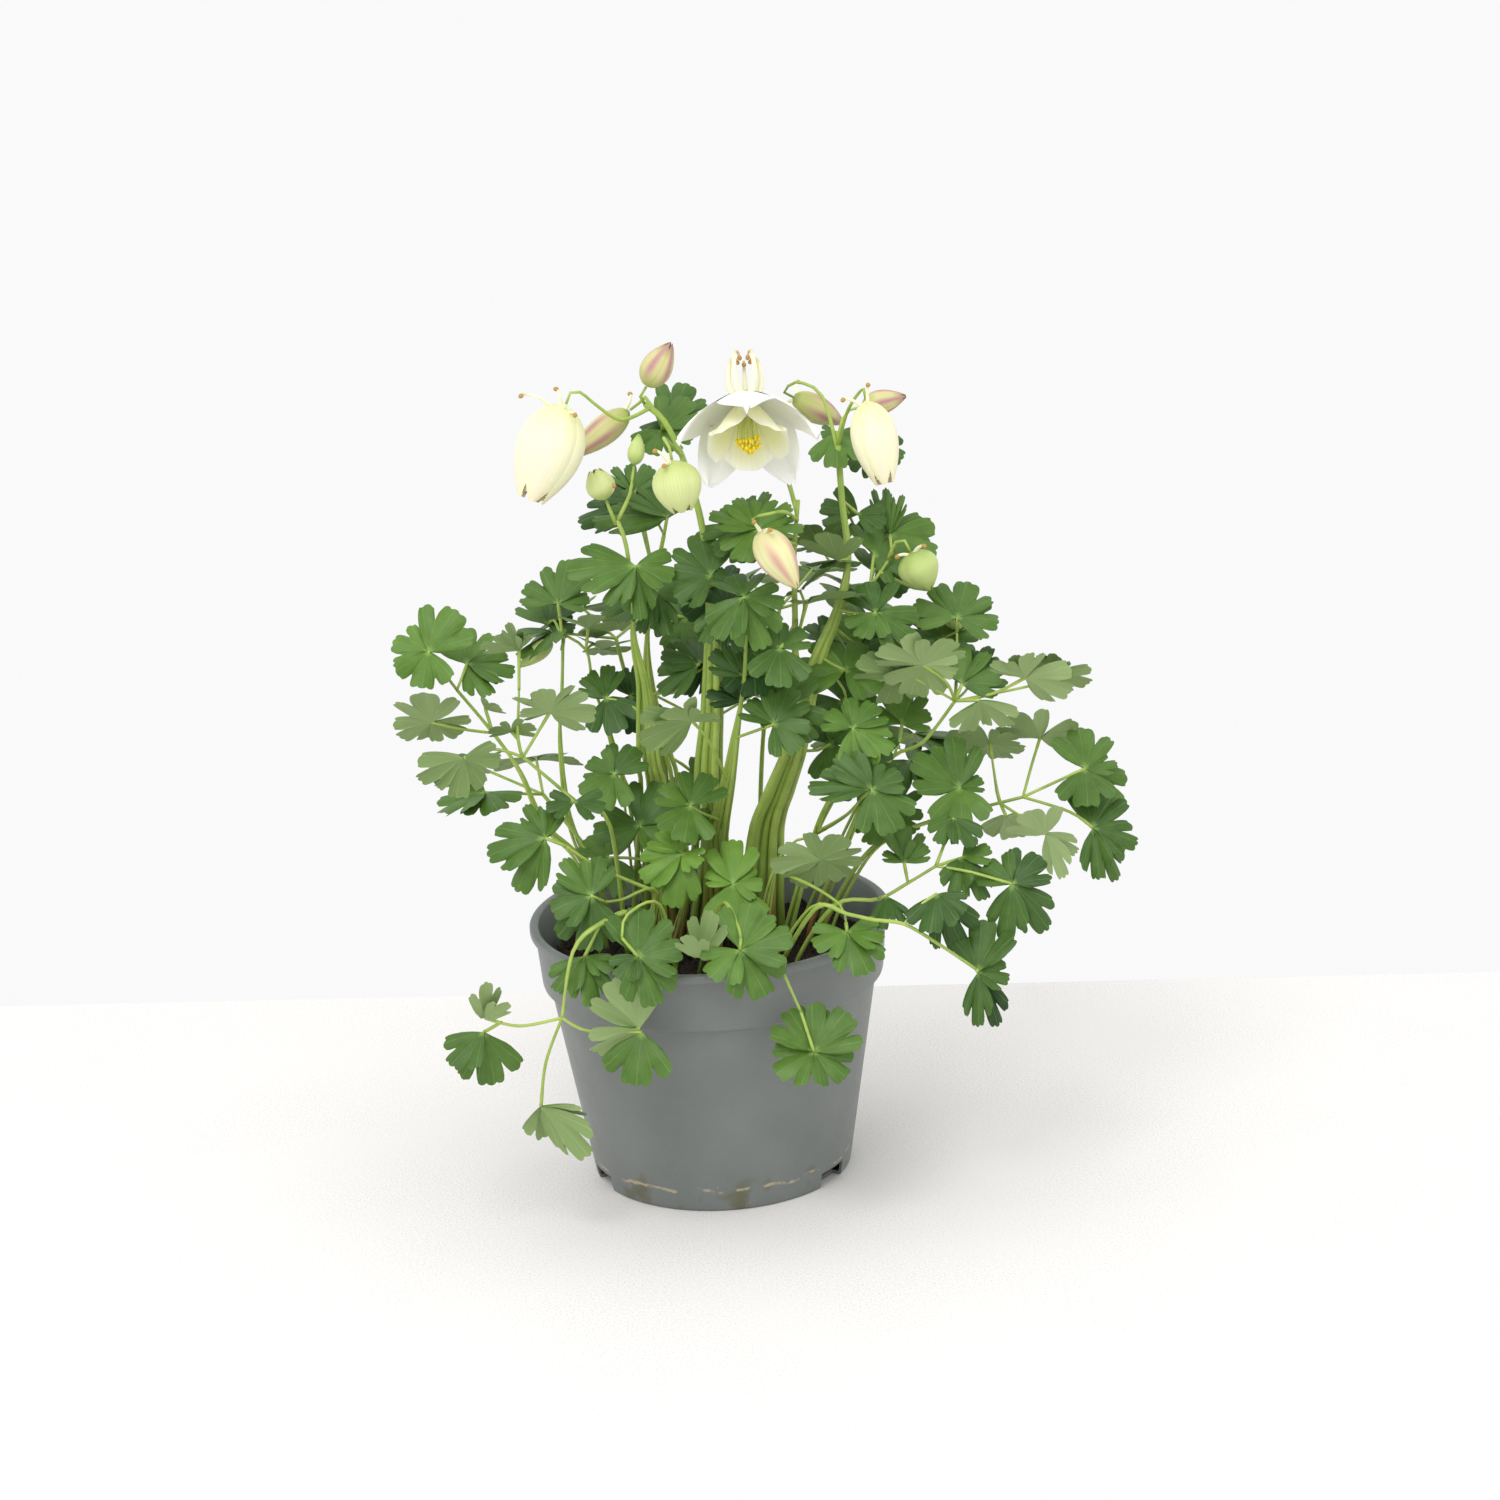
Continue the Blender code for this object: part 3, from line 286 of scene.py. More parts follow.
def soil_material():
    """Dark damp peat with brown fibres and a few pale grains."""
    material, tree, surface = new_material("Peat compost")
    paint = mixed(tree, ramp(tree, noise(tree, 0.25, 5.0), 0.3, 0.7), "#0e0a08", "#33251b")
    grains = ramp(tree, noise(tree, 0.9, 2.0), 0.70, 0.74)
    paint = mixed(tree, grains, paint, "#6a5138")
    dress(tree, surface, paint, 0.92, (noise(tree, 0.8, 5.0), 0.8, 0.001))
    return material


LEAF, STALK = leaf_material(), stalk_material()
WHITE = petal_material("White petal", "#f3f5e4", "#fdfdf9", "#fefefb", "#f3f4ea")
CUP_PETAL = petal_material("Cream cup petal", "#dfe38c", "#f5f4c4", "#fdfdea", "#ecedbc")
CREAM = petal_material("Cream petal", "#dfe3a4", "#f6f4cf", "#f1e9c2", "#dfdfa6", "#f3ead0")
GREEN_CREAM = petal_material("Green-cream petal", "#b4c46c", "#d3dc98", "#c8cf8c", "#a9bb62")
PINK_BUD = petal_material("Pink-tinged bud", "#a3b257", "#cfcb8e", "#8f6a5c", "#c2a684", "#b98888")
CREAM_BUD = petal_material("Cream bud", "#cdc98e", "#e9e6ae", "#e3dfa0", "#d9cf9c", "#d3a896")
GREEN_BUD = petal_material("Green bud", "#9cb55c", "#c3d284", "#a5bd62", "#a9bf6c")
SPUR = petal_material("Petal spur", "#f2f2d2", "#efeccc", "#c09a4c", "#e9e6c0")
SPUR_TIP = plain_material("Ochre spur tip", "#b58f48", 0.6)
POLLEN = plain_material("Pollen yellow anther", "#f6dd2c", 0.7)
FILAMENT = plain_material("Pale filament", "#e9ee9a", 0.5)
print("materials:", len(bpy.data.materials))

# %% [markdown]
# ## Surfaces from parameter grids
# Every new piece is a grid of points worked out in numpy. `Sheets` collects grids that share one
# object, with their texture coordinates, shade values and materials.

# %% Mesh builder


def new_object(name, data):
    """Puts data into the scene as an object at the origin."""
    thing = bpy.data.objects.new(name, data)
    bpy.context.scene.collection.objects.link(thing)
    return thing


class Sheets:
    """Grids of points gathered into one mesh object, each with a material, uv and shade values."""

    def __init__(self):
        self.points, self.faces, self.uv, self.paint = [], [], [], []
        self.values = {"tone": [], "under": [], "red": []}
        self.count = 0

    def add(self, grid, material, closed=False, flip=False, tone=0.5, under=0.0, red=0.0, uv=None):
        """grid has shape (rows, columns, 3); closed joins the last column to the first."""
        rows, columns = grid.shape[:2]
        index = np.arange(rows * columns).reshape(rows, columns) + self.count
        after = np.roll(index, -1, axis=1) if closed else index[:, 1:]
        first = index if closed else index[:, :-1]
        quads = np.stack([first[:-1], after[:-1], after[1:], first[1:]], axis=-1).reshape(-1, 4)
        self.faces.append(quads[:, ::-1] if flip else quads)
        self.points.append(grid.reshape(-1, 3))
        if uv is None:
            v, u = np.meshgrid(np.linspace(0, 1, rows), np.linspace(0, 1, columns), indexing="ij")
            uv = np.stack([u, v], axis=-1)
        self.uv.append(uv.reshape(-1, 2))
        for name, value in (("tone", tone), ("under", under), ("red", red)):
            self.values[name].append(np.full(rows * columns, value))
        self.paint.append((material, len(quads)))
        self.count += rows * columns

    def make(self, name, slot, *nodes):
        """Builds the object, which stands for the named plain nodes and moves with the pot."""
        points = np.concatenate(self.points)
        faces = np.concatenate(self.faces)
        mesh = bpy.data.meshes.new(name)
        mesh.from_pydata(points, [], faces.tolist())
        materials = list(dict.fromkeys(material for material, _ in self.paint))
        for material in materials:
            mesh.materials.append(material)
        numbers = [np.full(count, materials.index(material)) for material, count in self.paint]
        mesh.polygons.foreach_set("material_index", np.concatenate(numbers))
        corners = np.empty(len(mesh.loops), np.int32)
        mesh.loops.foreach_get("vertex_index", corners)
        layer = mesh.uv_layers.new(name="UVMap")
        layer.data.foreach_set("uv", np.concatenate(self.uv)[corners].ravel())
        for key, parts in self.values.items():
            mesh.attributes.new(key, "FLOAT", "POINT").data.foreach_set("value", np.concatenate(parts))
        mesh.polygons.foreach_set("use_smooth", np.ones(len(faces), bool))
        mesh.update()
        thing = new_object(name, mesh)
        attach(thing, "root")
        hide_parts(*nodes)
        print(f"{name}: {len(faces)} faces")
        return thing


def smooth_line(points, spacing=0.004):
    """A Catmull-Rom line through the points, sampled about every spacing."""
    points = np.array([tuple(p) for p in points], float)
    padded = np.vstack([points[:1], points, points[-1:]])
    parts = []
    for k in range(len(points) - 1):
        before, a, b, after = padded[k:k + 4]
        t = np.linspace(0, 1, max(2, int(np.linalg.norm(b - a) / spacing) + 1))[:-1, None]
        parts.append(0.5 * (2 * a + (b - before) * t + (2 * before - 5 * a + 4 * b - after) * t ** 2
                            + (3 * a - before - 3 * b + after) * t ** 3))
    return np.vstack(parts + [points[-1:]])


def unit(v):
    return v / np.maximum(np.linalg.norm(v, axis=-1, keepdims=True), 1e-12)


def over_grid(rows, columns):
    """s from 0 to 1 down the rows and t from -1 to 1 along the columns."""
    return np.linspace(0, 1, rows)[:, None], np.linspace(-1, 1, columns)[None, :]


def round_turn(count):
    """Even angles round a full turn, one to a column."""
    return np.linspace(0, 2 * pi, count, endpoint=False)[None, :]


def shares(path):
    """Even steps from 0 at the path's first point to 1 at its last."""
    return np.linspace(0, 1, len(path))


def tube_grid(line, radii, sides):
    """Rings round a line: line + radius * (cos a * first + sin a * second)."""
    along = unit(np.gradient(line, axis=0))
    hint = np.array([0.31, 0.9, 0.2]) if abs(along[0, 2]) > 0.5 else np.array([0.1, 0.2, 1.0])
    first = unit(np.cross(along, hint))
    second = np.cross(along, first)
    a = round_turn(sides)[..., None]
    radii = np.broadcast_to(radii, len(line))[:, None, None]
    return line[:, None] + radii * (np.cos(a) * first[:, None] + np.sin(a) * second[:, None])


def add_tube(sheets, line, radii, material, sides=10, **values):
    """A tube whose ends close to a point."""
    radii = np.broadcast_to(radii, len(line)).copy()
    line = np.vstack([line[:1], line, line[-1:]])
    radii = np.concatenate([[0], radii, [0]])
    grid = tube_grid(line, radii, sides)
    grid[0], grid[-1] = line[0], line[-1]
    sheets.add(grid, material, closed=True, **values)


print("grid helpers ready")

# %% [markdown]
# ## Leaflets
# A leaflet is a fan: `R(t)` is how far it reaches at angle `t` from its midrib. Two notches part its
# three lobes, and a ripple cuts their rounded teeth. The blade is cupped, arches between base and
# tip, and thins from its base to nothing at its edge.

# %% Leaflet surface
LEAFLET = 0.030
DROOP, CUP = 0.16, 0.14
HALF_FAN = 1.04
ROWS, COLUMNS = 8, 53
LEAF_THICK = 0.0007
chance = np.random.default_rng(11)


def fan_reach(t, seed):
    """R(t) = (crown - two notches - teeth) * a taper at both sides, with t from -1 to 1 over the fan."""
    away = np.abs(t + 0.02 * np.sin(seed * 3))
    crown = 1.02 - 0.20 * away ** 2.4
    close = np.clip((1 - np.abs(t)) / 0.22, 0, 1) ** 0.55
    notch = 0.35 * np.exp(-(np.abs(away - 0.37 - 0.02 * np.sin(seed)) / 0.055) ** 1.5)
    teeth = 0.050 * (1 - np.abs(np.sin(pi * (away * 5 + 0.5)))) ** 1.5
    return (crown - notch - teeth) * (0.24 + 0.76 * close)


def leaflet_grids(base, tip, facing, width, seed):
    """Upper and lower grids: base + r (cos a along + width sin a across) + lift normal, with
    r = s R(t) L, a = t * half angle and lift = cup t^2 s + droop s (1 - s) + a wave at the edge."""
    along = tip - base
    length = along.length
    along = along / length
    across = along.cross(facing).normalized()
    normal = np.array(across.cross(along))
    along, across, base = np.array(along), np.array(across), np.array(base)
    s, t = over_grid(ROWS, COLUMNS)
    s = s ** 0.85
    reach = s * fan_reach(t, seed)
    turn = t * HALF_FAN
    x = reach * np.sin(turn) * width
    y = reach * np.cos(turn) * (1 - 0.05 * s)
    wave = 0.012 * np.sin(t * 9.0 + seed * 3) * s ** 2 + 0.07 * np.sin(t * 2.4 + seed) * s
    lobes = 0.028 * np.cos(t * pi * 2.70) * s ** 2
    lift = CUP * 0.55 * (t ** 2) * s * width + DROOP * y * (1 - y) + wave + lobes - 0.05 * s ** 3
    top = base + length * (x[..., None] * across + y[..., None] * along + lift[..., None] * normal)
    thick = LEAF_THICK * (1 - s ** 4) * np.ones_like(t)
    bottom = top - thick[..., None] * normal
    uv = np.stack([np.broadcast_to((t + 1) / 2, x.shape), np.broadcast_to(s, x.shape)], axis=-1)
    return top, bottom, uv


# Where the upper side of a leaf looks: to the front and up, to the back and up, or nearly straight up
FACES = {
    "T": Vector((0.0, -0.62, 0.78)),
    "U": Vector((0.0, 0.80, 0.60)),
    "E": Vector((0.0, 0.30, 0.95)),
}


def leaf_end(joint, face, across, down, depth):
    """A leaflet's tip: the nearer its length on the sheet is to LEAFLET, the less it leans out of the sheet."""
    drawn = on_sheet(across, down, depth) - joint
    rest = max(LEAFLET ** 2 - drawn.length ** 2, 0) ** 0.5
    lean = drawn.normalized().z * {"T": 1, "U": -1, "E": 0}[face]
    return joint + drawn + Vector((0, 1, 0)) * rest * lean * 0.8


def add_leaflets(sheets, joint, tips, facing, tone):
    """Leaflets round one joint, each narrowed where its neighbour is near."""
    for k, tip in enumerate(tips):
        heading = tip - joint
        spread = min([heading.angle(other - joint) for j, other in enumerate(tips) if j != k] + [pi / 2])
        width = min(1.0, 1.45 * np.tan(spread / 2))
        seed = chance.uniform(0, 6)
        shade = float(np.clip(tone + chance.uniform(-0.14, 0.14), 0, 1))
        tilt = Vector((chance.uniform(-0.12, 0.12), chance.uniform(-0.05, 0.05), 0))
        top, bottom, uv = leaflet_grids(joint, tip, facing + tilt, width, seed)
        sheets.add(top, LEAF, flip=True, tone=shade, under=0.0, uv=uv)
        sheets.add(bottom, LEAF, tone=shade, under=1.0, uv=uv)


print("leaflet grid:", ROWS, "x", COLUMNS)

# %% [markdown]
# ## Where everything grows
# The layout of fronds, leafy stems, buds and blooms on the front sheet.

# %% Layout
# Each node's stalks, and then its leaves. A stalk is (foot, thickness in mm, points): the foot is its
# place on the soil in mm, or None where it starts on another stalk. A leaf is (face, points of its
# stalklet up to its joint, tips of its leaflets).
FOLIAGE = {
    "frond_left_high": (
        [((-56, 6), 1.5, [(582, 862, 10), (545, 824, 14), (521, 773, 18), (493, 733, 22), (457, 690, 25)])],
        [("T", [(457, 690, 25), (428, 652, 25)], [(458, 614), (391, 644), (423, 676)]),
         ("T", [(457, 690, 25), (467, 664, 45)], [(460, 638), (517, 669), (492, 690)]),
         ("U", [(493, 733, 22), (462, 729, 12), (432, 722, 5)], [(398, 740), (425, 684), (462, 742)]),
         ("U", [(493, 733, 22), (485, 708, 24)], [(500, 700)])]),
    "frond_left_low": (
        [((-44, -14), 1.5, [(610, 826, -26), (582, 806, -30), (561, 789, -34), (523, 757, -38)]),
         (None, 1.0, [(523, 757, -38), (518, 739, -36), (519, 690, -24)])],
        [("U", [(523, 757, -38), (493, 749, -44), (464, 758, -50)], [(416, 780), (456, 804), (502, 762)]),
         ("U", [(519, 690, -24), (519, 650, -15)], [(510, 614), (480, 639), (531, 621)]),
         ("U", [(523, 757, -38), (550, 712, -35)], [(519, 708), (541, 675), (598, 714)]),
         ("U", [(518, 739, -36), (511, 731, -30)], [(490, 726), (536, 724)]),
         ("T", [(561, 789, -34), (574, 802, -44)], [(545, 806), (606, 806)])]),
    "frond_left_back": (
        [((-52, 30), 1.5, [(574, 829, 36), (565, 787, 40), (560, 731, 45), (562, 688, 48), (563, 639, 50)]),
         ((-34, 24), 1.3, [(630, 807, 30), (620, 773, 34), (609, 731, 40), (593, 684, 46), (586, 650, 48),
             (563, 634, 50)])],
        [("T", [(563, 640, 50), (558, 604, 50)], [(524, 586), (570, 566), (590, 597)]),
         ("U", [(586, 650, 48), (588, 628, 46)], [(604, 640), (590, 600)])]),
    "frond_front_left": (
        [((-38, -40), 1.3, [(656, 892, -50), (621, 900, -66), (605, 902, -72)]),
         (None, 1.1, [(656, 892, -50), (600, 868, -54), (566, 846, -56)])],
        [("T", [(566, 846, -56), (545, 838, -56)], [(524, 814), (484, 854), (516, 893), (552, 815)]),
         ("T", [(605, 902, -72), (591, 896, -78)], [(562, 866), (600, 868), (550, 908), (590, 946)])]),
    "frond_left_hanging": (
        [((-30, -54), 1.4, [(640, 915, -74), (600, 925, -90), (573, 952, -98), (562, 1018, -102)])],
        [("T", [(600, 925, -90), (585, 956, -86)], [(554, 985), (594, 997), (614, 966)]),
         ("U", [(562, 1018, -102), (519, 1026, -101), (485, 1018, -100)], [(487, 972), (510, 994)]),
         ("T", [(502, 1022, -101), (484, 1032, -97)], [(450, 1060), (494, 1088)]),
         ("U", [(562, 1018, -102), (589, 1031, -104), (640, 1028, -106)], [(614, 976), (592, 1056)]),
         ("T", [(610, 1031, -105), (642, 1032, -106)], [(634, 1078)]),
         ("U", [(562, 1018, -102), (546, 1062, -102), (541, 1106, -102)], [(590, 1116), (592, 1157),
             (546, 1150)])]),
    "frond_front_low": (
        [((-18, -58), 1.2, [(660, 905, -78), (627, 915, -94), (622, 938, -101)])],
        [("T", [(622, 938, -101), (638, 957, -103)], [(640, 916), (684, 950), (656, 996), (616, 970)])]),
    "frond_front": (
        [((-2, -50), 1.4, [(722, 905, -72), (736, 920, -94), (741, 938, -104)])],
        [("T", [(741, 938, -104), (740, 950, -106)], [(752, 911), (794, 936), (766, 989), (708, 972)]),
         ("U", [(736, 920, -94), (712, 940, -96), (701, 957, -99)], [(712, 904), (686, 924)])]),
    "frond_front_hanging": (
        [((14, -46), 1.2, [(762, 920, -78), (777, 958, -102), (801, 1012, -107)])],
        [("T", [(801, 1012, -107), (814, 1052, -108)], [(790, 1016), (850, 1016), (846, 1070), (774, 1070)])]),
    "frond_young": (
        [((-22, -32), 1.1, [(690, 880, -38), (684, 862, -42)])],
        [("T", [(684, 862, -42), (682, 854, -44)], [(660, 836), (702, 860), (672, 904), (638, 874)])]),
    "frond_young_centre": (
        [((4, -34), 1.1, [(728, 900, -42), (733, 890, -48)])],
        [("T", [(733, 890, -48), (733, 884, -50)], [(706, 876), (732, 848), (764, 884), (738, 918)])]),
    "frond_centre_left": (
        [((-24, 4), 1.2, [(664, 862, 0), (653, 843, -4), (646, 832, -6)]),
         (None, 1.0, [(664, 862, 0), (682, 852, -16)])],
        [("T", [(646, 832, -6), (640, 826, -8)], [(592, 834), (664, 788), (668, 836)]),
         ("T", [(664, 862, 0), (630, 858, 10), (608, 858, 14)], [(586, 842), (586, 880), (622, 884)]),
         ("T", [(682, 852, -16), (687, 846, -20)], [(708, 816), (682, 826)])]),
    "frond_arched": (
        [((24, -36), 1.2, [(775, 870, -46), (797, 840, -52), (812, 840, -58)]),
         (None, 1.1, [(775, 870, -46), (812, 886, -66), (840, 905, -80), (846, 922, -86)])],
        [("U", [(812, 840, -58), (820, 859, -62)], [(768, 864), (840, 826), (796, 892), (850, 886)]),
         ("T", [(846, 922, -86), (847, 932, -88)], [(812, 944), (866, 966), (886, 934)])]),
    "frond_right_centre": (
        [((40, -20), 1.4, [(815, 837, -26), (832, 792, -36), (844, 759, -42), (850, 740, -44)]),
         (None, 1.3, [(818, 832, -28), (836, 822, -46), (850, 812, -58), (861, 799, -64)])],
        [("T", [(850, 740, -44), (853, 728, -46)], [(862, 767), (877, 708), (894, 748), (826, 716)]),
         ("T", [(861, 799, -64), (872, 789, -68)], [(806, 784), (836, 758), (902, 776), (894, 826)]),
         ("T", [(844, 759, -42), (866, 764, -30)], [(872, 738), (896, 768), (870, 796)])]),
    "frond_right_high": (
        [((52, 6), 1.5, [(846, 840, 4), (870, 790, 0), (894, 756, -4), (923, 742, -8), (955, 701, -14)]),
         (None, 1.0, [(955, 701, -14), (957, 665, 4), (957, 632, 14)])],
        [("U", [(955, 701, -14), (946, 682, -22), (923, 665, -28)], [(952, 634), (878, 640), (914, 706),
             (958, 674)]),
         ("T", [(955, 701, -14), (962, 684, -12)], [(961, 654), (1002, 676)]),
         ("U", [(955, 701, -14), (992, 694, -20), (1025, 678, -26)], [(990, 652), (1024, 640), (1074, 690)]),
         ("U", [(955, 701, -14), (980, 700, -22)], [(1012, 732), (968, 742)]),
         ("T", [(957, 632, 14), (957, 618, 14)], [(912, 606), (972, 590), (1000, 622)]),
         ("T", [(894, 756, -4), (900, 738, 8), (902, 724, 12)], [(874, 712), (906, 690), (932, 716)]),
         ("T", [(868, 795, 0), (882, 806, 12), (888, 812, 14)], [(868, 836), (914, 828), (902, 788)])]),
    "frond_right": (
        [((60, 10), 1.5, [(870, 850, 8), (934, 820, 6), (987, 806, 4), (1023, 797, 2)]),
         (None, 1.0, [(1000, 803, 4), (997, 791, 10), (992, 758, 16)])],
        [("U", [(992, 758, 16), (990, 743, 20)], [(944, 735), (1014, 730), (1006, 768)]),
         ("U", [(1023, 797, 2), (1032, 764, 20), (1040, 738, 32)], [(1008, 708), (1088, 736)]),
         ("T", [(1023, 797, 2), (1073, 774, 6), (1085, 769, 8)], [(1084, 738), (1119, 764), (1126, 806),
             (1082, 797)]),
         ("T", [(1023, 797, 2), (1070, 812, -4), (1093, 828, -8)], [(1104, 794), (1138, 842), (1122, 882),
             (1096, 872)]),
         ("U", [(1000, 803, 4), (1020, 816, -16), (1046, 834, -26)], [(1024, 803), (1080, 858),
             (1066, 882)]),
         ("U", [(1000, 803, 4), (1006, 816, -8)], [(1018, 846)]),
         ("T", [(987, 806, 4), (972, 798, -12), (959, 788, -18)], [(910, 760), (956, 742), (984, 780),
             (958, 818)])]),
    "frond_right_low": (
        [((44, -42), 1.4, [(835, 905, -56), (878, 899, -58), (908, 883, -58), (936, 866, -56)]),
         (None, 1.0, [(936, 866, -56), (946, 840, -48), (953, 826, -44)])],
        [("T", [(936, 866, -56), (970, 872, -62), (1012, 884, -68)], [(1044, 862), (1004, 938), (1048, 932),
             (986, 868)]),
         ("T", [(936, 866, -56), (962, 858, -52)], [(992, 850), (984, 892), (950, 880)]),
         ("T", [(953, 826, -44), (953, 818, -42)], [(936, 834), (972, 836)]),
         ("T", [(908, 883, -58), (904, 862, -60)], [(906, 834), (930, 850), (884, 856)]),
         ("T", [(878, 899, -58), (886, 896, -64)], [(904, 914), (880, 918)])]),
    "frond_right_hanging": (
        [((34, -56), 1.4, [(816, 908, -82), (847, 914, -88), (875, 920, -90), (904, 924, -90),
             (940, 945, -88), (976, 969, -86)])],
        [("T", [(976, 969, -86), (978, 972, -86)], [(986, 926), (1010, 976), (1000, 1030), (976, 1020)]),
         ("T", [(904, 924, -90), (922, 904, -84), (937, 894, -80)], [(966, 906), (964, 952), (926, 922)])]),
    "stem_left": (
        [((-30, 12), 1.9, [(654, 793, 14), (650, 766, 12), (646, 717, 8), (643, 682, 4), (634, 640, 0),
             (633, 600, -4), (626, 545, -6), (617, 520, -5)])],
        [("T", [(633, 590, -4), (636, 566, -12)], [(564, 572), (606, 602), (640, 616), (676, 572)]),
         ("T", [(646, 717, 8), (628, 704, 18), (606, 698, 24)], [(580, 684), (606, 672), (620, 722)]),
         ("T", [(650, 766, 12), (630, 772, 2), (614, 774, -6)], [(586, 764), (602, 798), (636, 754)])]),
    "stem_middle_left": (
        [((-20, 22), 1.9, [(667, 791, 28), (661, 752, 26), (650, 696, 24), (647, 640, 26), (655, 580, 32),
             (664, 535, 36)])],
        [("T", [(664, 535, 36), (667, 518, 36)], [(590, 522), (622, 490), (671, 500)]),
         ("T", [(650, 696, 24), (672, 684, 18), (699, 664, 14)], [(656, 688), (700, 646), (660, 655)]),
         ("T", [(655, 580, 32), (640, 520, 60), (634, 492, 66)], [(612, 470), (606, 486), (650, 470)]),
         ("T", [(648, 620, 28), (672, 616, 42), (684, 618, 46)], [(664, 600), (708, 604), (694, 644)]),
         ("U", [(661, 752, 26), (682, 764, 34), (692, 772, 38)], [(718, 756), (712, 794), (680, 800)])]),
    "stem_main": (
        [((-6, 8), 2.7, [(711, 850, 8), (710, 766, 6), (713, 710, 4), (713, 640, 2), (711, 580, 0),
             (699, 512, 2), (690, 484, 4), (682, 456, 6), (664, 421, 8), (645, 404, 10)])],
        [("T", [(711, 590, 0), (711, 576, -12)], [(672, 592), (700, 538), (728, 576)]),
         ("T", [(664, 421, 8), (662, 430, 22)], [(650, 446), (690, 402), (694, 436)])]),
    "stem_centre": (
        [((4, 4), 1.8, [(716, 850, -4), (718, 829, -8), (728, 780, -14), (735, 738, -18), (744, 681, -24),
             (746, 630, -32)])],
        [("T", [(746, 630, -32), (744, 597, -36)], [(714, 634), (764, 646), (786, 602), (734, 580)]),
         ("T", [(744, 681, -24), (744, 676, -22)], [(710, 656), (742, 640), (776, 656)]),
         ("U", [(728, 780, -14), (708, 740, -34), (692, 721, -42)], [(638, 742), (664, 700), (716, 708)]),
         ("T", [(735, 738, -18), (758, 730, -36), (774, 724, -42)], [(748, 704), (794, 694), (800, 742)]),
         ("T", [(720, 820, -9), (700, 812, -28), (690, 806, -34)], [(662, 790), (712, 780), (682, 832)])]),
    "stem_right": (
        [((26, 6), 2.9, [(765, 833, 4), (778, 792, 2), (793, 751, 0), (807, 692, -2), (819, 655, -2),
             (838, 609, 0), (848, 560, 6), (842, 500, 14), (838, 445, 20)]),
         (None, 2.0, [(807, 692, -2), (796, 660, -4), (795, 615, -6), (794, 560, -6), (797, 513, -2),
             (798, 500, -2)]),
         (None, 1.2, [(838, 609, 0), (870, 585, 8), (890, 558, 10)])],
        [("T", [(797, 545, -6), (770, 534, -16), (757, 529, -20)], [(708, 514), (740, 556), (792, 506),
             (736, 502), (806, 528)]),
         ("T", [(795, 667, -4), (792, 690, -20), (786, 706, -30)], [(792, 678), (756, 720), (810, 734)]),
         ("E", [(797, 640, -6), (807, 603, -14)], [(786, 600), (868, 589)]),
         ("T", [(838, 445, 20), (836, 432, 30)], [(834, 462), (874, 450), (820, 434)]),
         ("T", [(842, 500, 14), (858, 514, 26)], [(820, 505), (886, 520)]),
         ("U", [(848, 560, 6), (838, 560, -4)], [(824, 524), (832, 580)]),
         ("T", [(870, 585, 8), (874, 555, 18)], [(910, 566), (880, 530)]),
         ("T", [(838, 609, 0), (862, 614, -12), (876, 613, -16)], [(868, 588), (914, 635), (860, 630)]),
         ("T", [(819, 655, -2), (832, 664, -4), (845, 670, -6)], [(862, 650), (884, 684), (796, 668)]),
         ("T", [(892, 555, 10), (890, 535, 30)], [(887, 494), (905, 498), (938, 552)]),
         ("T", [(793, 751, 0), (818, 750, 10), (830, 744, 14)], [(810, 722), (854, 722), (842, 772)]),
         ("T", [(797, 620, -6), (786, 640, -30), (780, 648, -36)], [(752, 640), (778, 676), (806, 634)]),
         ("T", [(832, 625, -1), (850, 640, 14), (858, 646, 18)], [(842, 620), (888, 634), (866, 674)])]),
}

